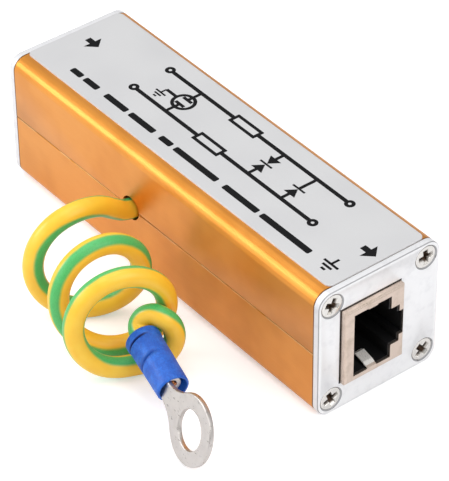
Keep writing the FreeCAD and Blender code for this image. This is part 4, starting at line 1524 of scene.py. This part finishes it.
@dataclass
class EarthWire:
    """Lead, loose coil and end curl of the earth wire as one tube along one smooth spline.

    Each station is the x and y of the coil's middle line and the radius of its loops, half a turn after
    the one before. stripe_turns gives lengths along the wire and the stripes' angle there, in degrees.
    """

    radius: float = 1.8
    start: tuple[Point, ...] = ((-7.75, -10.9, 12.4), (-7.7, -13.5, 12.65), (-7.3, -16.2, 14.7),
                                (-6.5, -19.5, 17.5))
    stations: tuple[Point, ...] = ((-5.8, -23.2, 8.7), (-2.8, -25.8, 8.7), (2.3, -27.2, 8.5),
                                   (8.4, -28.1, 7.5), (12.0, -29.0, 8.5), (14.8, -29.3, 9.1))
    yaw: float = -22.5
    first_angle: float = 66.0
    turn_points: int = 12
    curl: tuple[Point, ...] = ((16.0, -27.2, 2.4), (17.7, -24.3, 3.7), (18.4, -22.9, 6.7), (18.1, -23.1, 9.7),
                               (17.05, -24.4, 11.4), (15.3, -25.1, 11.4), (13.95, -26.2, 10.3),
                               (14.0, -27.2, 8.9))
    before_entry: float = 0.2
    inside_share: float = 0.6
    exit: Point = (-7.4, -12.5, 12.95)
    around: int = 48
    span_steps: int = 12
    nearest_points: float = 0.01
    stripe_turns: tuple[Pair, ...] = (
        (0, -65), (8, -66), (14, -36), (20, -10), (26, 2), (32, -22), (38, -50), (44, -62), (50, -54),
        (62, -60), (86, -62), (98, -75), (110, -112), (122, -116), (140, -128), (150, -104), (158, -116),
        (166, -150), (176, -185))
    smoothing: int = 25

    def coil_points(self) -> Array:
        """Control points of the loops.

        Each lies on a circle that stands on the floor, across the coil's middle line, whose centre and
        radius drift along the stations. At its middle a span of the spline of order 3 takes three
        quarters of its own point and an eighth of each neighbour, which lies inside the points, so the
        radius is grown by as much.

        Returns:
            The points.
        """
        turns = (len(self.stations) - 1) / 2
        t = np.arange(1, round(turns * self.turn_points) + 1) / self.turn_points
        knots = np.arange(len(self.stations)) / 2
        x, y, r = (np.interp(t, knots, column) for column in np.array(self.stations).T)
        angle = math.radians(self.first_angle) + TAU * t
        yaw = math.radians(self.yaw)
        across = np.array([-math.sin(yaw), math.cos(yaw), 0.0])
        up = np.array([0.0, 0.0, 1.0])
        grow = 1 / (0.75 + 0.25 * math.cos(TAU / self.turn_points))
        middle = np.stack([x, y, r + self.radius], -1)
        outwards = np.cos(angle)[:, None] * across + np.sin(angle)[:, None] * up
        return middle + (grow * r)[:, None] * outwards

    def centreline(self, terminal: Terminal) -> Array:
        """Points along the wire's spline.

        Args:
            terminal: the terminal whose sleeve the wire enters.

        Returns:
            Close points of the spline, in millimetres.
        """
        entry, axis = terminal.entry(), terminal.axis()
        end = [entry - self.before_entry * axis, entry + self.inside_share * terminal.insulated * axis]
        control = np.concatenate([self.start, self.coil_points(), self.curl, end])
        curve = bpy.data.curves.new("earth_wire_route", "CURVE")
        curve.dimensions = "3D"
        curve.resolution_u = self.span_steps
        spline = curve.splines.new("NURBS")
        spline.points.add(len(control) - 1)
        spline.points.foreach_set("co", np.hstack([control * MM, np.ones((len(control), 1))]).ravel())
        spline.order_u = 3
        spline.use_endpoint_u = True
        holder = add_object("earth_wire_route", curve)
        bpy.context.view_layer.update()
        mesh = bpy.data.meshes.new_from_object(holder.evaluated_get(bpy.context.evaluated_depsgraph_get()))
        points = read_points(mesh) / MM
        bpy.data.objects.remove(holder)
        bpy.data.curves.remove(curve)
        bpy.data.meshes.remove(mesh)
        apart = np.linalg.norm(np.diff(points, axis=0), axis=1) > self.nearest_points
        return points[np.concatenate([[True], apart])]

    def frames(self, line: Array) -> tuple[Array, Array]:
        """Two directions across the wire at each point.

        The first is carried along without turning about the wire: at each step the part of it that lies
        along the wire is taken out. The second stands square to it and to the wire.

        Args:
            line: the wire's points.

        Returns:
            The first and the second directions.
        """
        along = unit(np.gradient(line, axis=0))
        first = np.empty_like(along)
        side = np.cross(along[0], [0.0, 0.0, 1.0])
        for number, direction in enumerate(along):
            side = unit(side - direction * np.dot(side, direction))
            first[number] = side
        return first, np.cross(along, first)

    def build(self, terminal: Terminal, finish: StripedInsulation) -> None:
        """The tube: a circle of the wire's radius carried along the spline, closed at both ends.

        Args:
            terminal: the terminal whose sleeve the wire enters.
            finish: the insulation.
        """
        line = self.centreline(terminal)
        first, second = self.frames(line)
        angle = np.linspace(0, TAU, self.around, endpoint=False)
        ring = np.cos(angle)[:, None] * first[:, None] + np.sin(angle)[:, None] * second[:, None]
        surface = line[:, None] + self.radius * ring
        mesher = Mesher("earth_wire")
        mesher.grid(surface, wrap_columns=True)
        mesher.cap(surface[0])
        mesher.cap(surface[-1], flip=True)
        piece = mesher.piece()
        reach = np.concatenate([[0], np.cumsum(np.linalg.norm(np.diff(line, axis=0), axis=1))])
        self.paint_stripes(piece.data, line, reach, first, second, finish.attribute)
        fasten(piece, finish.material(), Slot.WIRE, "earth_wire_lead", "earth_wire_coil", "earth_wire_tail")
        LOG.info("earth wire %.1f mm long", reach[-1])

    def paint_stripes(self, mesh: bpy.types.Mesh, line: Array, reach: Array, first: Array, second: Array,
                      attribute: str) -> None:
        """Store how near each point is to the middle of a green stripe.

        The two stripes lie half a turn apart, and their angle about the wire turns slowly along it. The
        stored value is 1 in a stripe's middle and 0 half way to the next.

        Args:
            mesh: the tube.
            line: the wire's points.
            reach: the length along the wire at each of them.
            first: the first direction across the wire at each of them.
            second: the second direction.
            attribute: the name of the stored value.
        """
        points = read_points(mesh) / MM
        tree = KDTree(len(line))
        for number, point in enumerate(line):
            tree.insert(point, number)
        tree.balance()
        nearest = np.array([tree.find(point)[1] for point in points])
        off = points - line[nearest]
        angle = np.arctan2((off * second[nearest]).sum(1), (off * first[nearest]).sum(1))
        value = 0.5 + 0.5 * np.cos(2 * (angle - self.turn_at(reach)[nearest]))
        mesh.attributes.new(attribute, "FLOAT", "POINT").data.foreach_set("value", value.astype(np.float32))

    def turn_at(self, reach: Array) -> Array:
        """Angle of the stripes about the wire at each length along it.

        The chosen turns are joined by straight lines, then averaged over a few millimetres.

        Args:
            reach: lengths along the wire.

        Returns:
            The angles in radians.
        """
        lengths, degrees = np.array(self.stripe_turns, float).T
        window = np.hanning(self.smoothing)
        turns = np.pad(np.interp(reach, lengths, degrees), len(window) // 2, mode="edge")
        return np.radians(np.convolve(turns, window / window.sum(), mode="valid"))


# Studio

@dataclass(frozen=True)
class Lamp:
    """Soft area lamp: its place and size in millimetres, and its power in watts."""

    name: str
    place: Point
    size: Pair
    power: float


@dataclass
class Studio:
    """Pale floor, soft lamps, an even world and the camera."""

    camera_place: Point = (304.989, -235.064, 314.086)
    target: Point = (4.456, -1.829, 7.961)
    roll: float = -0.649
    focal: float = 2898.397
    frame_long_side: int = 481
    sensor: float = 36.0
    view_range: Pair = (0.01, 10.0)
    world_strength: float = 0.5
    floor_half: float = 1500.0
    floor_colour: Colour = linear(238, 238, 240)
    floor_dust: Colour = linear(234, 234, 237)
    floor_roughness: float = 0.9
    dust: Grain = Grain(0.02, share=0.3)
    glow_seen: Colour = (0.4, 0.4, 0.4)
    glow_mirrored: Colour = (0.08, 0.08, 0.08)
    lamps: tuple[Lamp, ...] = (
        Lamp("key", (420.0, 60.0, 420.0), (420.0, 420.0), 1.1),
        Lamp("top", (-60.0, -40.0, 600.0), (600.0, 500.0), 1.5),
        Lamp("side", (-80.0, -520.0, 260.0), (500.0, 300.0), 0.6),
        Lamp("edge", (-370.0, -380.0, 290.0), (170.0, 260.0), 1.0))

    def camera(self) -> None:
        """Camera at the photograph's angle: its axis through the target, then turned by the roll."""
        data = bpy.data.cameras.new("camera")
        data.sensor_width = self.sensor
        data.lens = self.focal / self.frame_long_side * self.sensor
        data.clip_start, data.clip_end = self.view_range
        camera = add_object("camera", data)
        place, target = Vector(self.camera_place) * MM, Vector(self.target) * MM
        aim = (target - place).to_track_quat("-Z", "Y").to_matrix()
        turn = Matrix.Rotation(math.radians(self.roll), 3, "Z")
        camera.matrix_world = Matrix.Translation(place) @ (aim @ turn).to_4x4()
        bpy.context.scene.camera = camera

    def hang(self, lamp: Lamp) -> None:
        """Make an area lamp that looks at the object.

        Args:
            lamp: the lamp.
        """
        data = bpy.data.lights.new(lamp.name, "AREA")
        data.shape = "RECTANGLE"
        data.size, data.size_y = lamp.size[0] * MM, lamp.size[1] * MM
        data.energy = lamp.power
        hung = add_object(lamp.name, data)
        hung.location = Vector(lamp.place) * MM
        hung.rotation_euler = (Vector(self.target) * MM - hung.location).to_track_quat("-Z", "Y").to_euler()

    def floor(self) -> None:
        """Wide pale floor under the object, which glows a little where the camera or a mirror sees it."""
        sides = np.array([-self.floor_half, self.floor_half])
        y, x = np.meshgrid(sides, sides, indexing="ij")
        mesher = Mesher("floor")
        mesher.grid(np.stack([x, y, np.zeros_like(x)], -1))
        floor = mesher.piece()
        shader = Shader("pale_floor")
        dust = shader.noise(shader.place(), self.dust) * self.dust.share
        seen = shader.add("ShaderNodeLightPath", result="Is Camera Ray")
        mirrored = shader.add("ShaderNodeLightPath", result="Is Glossy Ray")
        glow = shader.mix(seen, shader.mix(mirrored, (0.0, 0.0, 0.0), self.glow_mirrored), self.glow_seen)
        dress(floor, shader.finish(Base_Color=shader.mix(dust, self.floor_colour, self.floor_dust),
                                   Roughness=self.floor_roughness, Emission_Strength=1.0,
                                   Emission_Color=glow))

    def world(self) -> None:
        """Even white light from all round."""
        world = bpy.data.worlds.new("studio")
        world.use_nodes = True
        background = world.node_tree.nodes["Background"]
        background.inputs["Color"].default_value = (1.0, 1.0, 1.0, 1.0)
        background.inputs["Strength"].default_value = self.world_strength
        bpy.context.scene.world = world

    def build(self) -> None:
        """Set up the studio."""
        bpy.context.scene.view_settings.view_transform = "Standard"
        self.camera()
        self.floor()
        self.world()
        for lamp in self.lamps:
            self.hang(lamp)


# The whole object

def dress_nodes(nodes: dict[str, bpy.types.Object]) -> None:
    """Give every CAD node that stays its finish.

    Args:
        nodes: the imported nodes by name.
    """
    groups = (
        # The shields' spring fingers get a painted highlight colour.
        (PlatedSheet("socket_nickel", linear(220, 202, 188), linear(200, 182, 166), 0.3,
                     spring=linear(252, 248, 242)), ("socket_shield_out", "socket_shield_in")),
        (Moulding("socket_black", linear(9, 9, 10), linear(16, 16, 18)),
         ("socket_housing_out", "socket_housing_in", "contact_carrier_out", "contact_carrier_in")),
        (PlatedSheet("contact_gold", linear(232, 186, 92), linear(206, 156, 66), 0.25),
         ("contacts_out", "contacts_in")),
        (Moulding("board_mask", linear(24, 96, 52), linear(34, 112, 62), 0.35), ("circuit_board",)),
        (Moulding("resistor_glaze", linear(26, 26, 30), linear(60, 60, 66), 0.3), ("series_resistors",)),
        (Moulding("diode_epoxy", linear(30, 30, 32), linear(44, 44, 47), 0.55),
         ("steering_diodes", "clamp_diodes")),
        (Moulding("tube_glaze", linear(228, 222, 214), linear(214, 206, 196), 0.3),
         ("gas_tube_pair_1", "gas_tube_pair_2")),
        (Moulding("inner_insulation", linear(246, 200, 60), linear(232, 178, 40), 0.45),
         ("earth_wire_inner",)),
        (PlatedSheet("inner_copper", linear(206, 130, 84), linear(170, 96, 56), 0.35),
         ("earth_core_inner",)),
        (PlatedSheet("solder_grey", linear(196, 196, 194), linear(166, 166, 164), 0.35),
         ("earth_solder_joint",)),
    )
    for finish, names in groups:
        material = finish.material()
        for name in names:
            dress(nodes[name], material)
        LOG.info("%s on %s", material.name, ", ".join(names))


def main() -> None:
    """Build the classes in order and report each piece."""
    logging.basicConfig(level=logging.INFO, format="%(name)s: %(message)s")
    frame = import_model()
    Studio().build()
    dress_nodes(frame["nodes"])
    Casing().build(frame["nodes"], AnodisedExtrusion(), ClearPlate())
    Screws().build(ScrewSteel())
    Label().build(SilverFoil(), Ink())
    terminal = Terminal()
    tin = PlatedSheet("tinned_copper", linear(208, 203, 199), linear(192, 187, 183), 0.38, nick_share=0.8,
                      clouds=replace(PlatedSheet.clouds, share=0.5),
                      scratches=replace(PlatedSheet.scratches, scale=2.0))
    terminal.build(tin, PlatedSheet("strand_copper", linear(176, 112, 72), linear(120, 66, 40), 0.35))
    EarthWire().build(terminal, StripedInsulation())


if __name__ == "__main__":
    main()
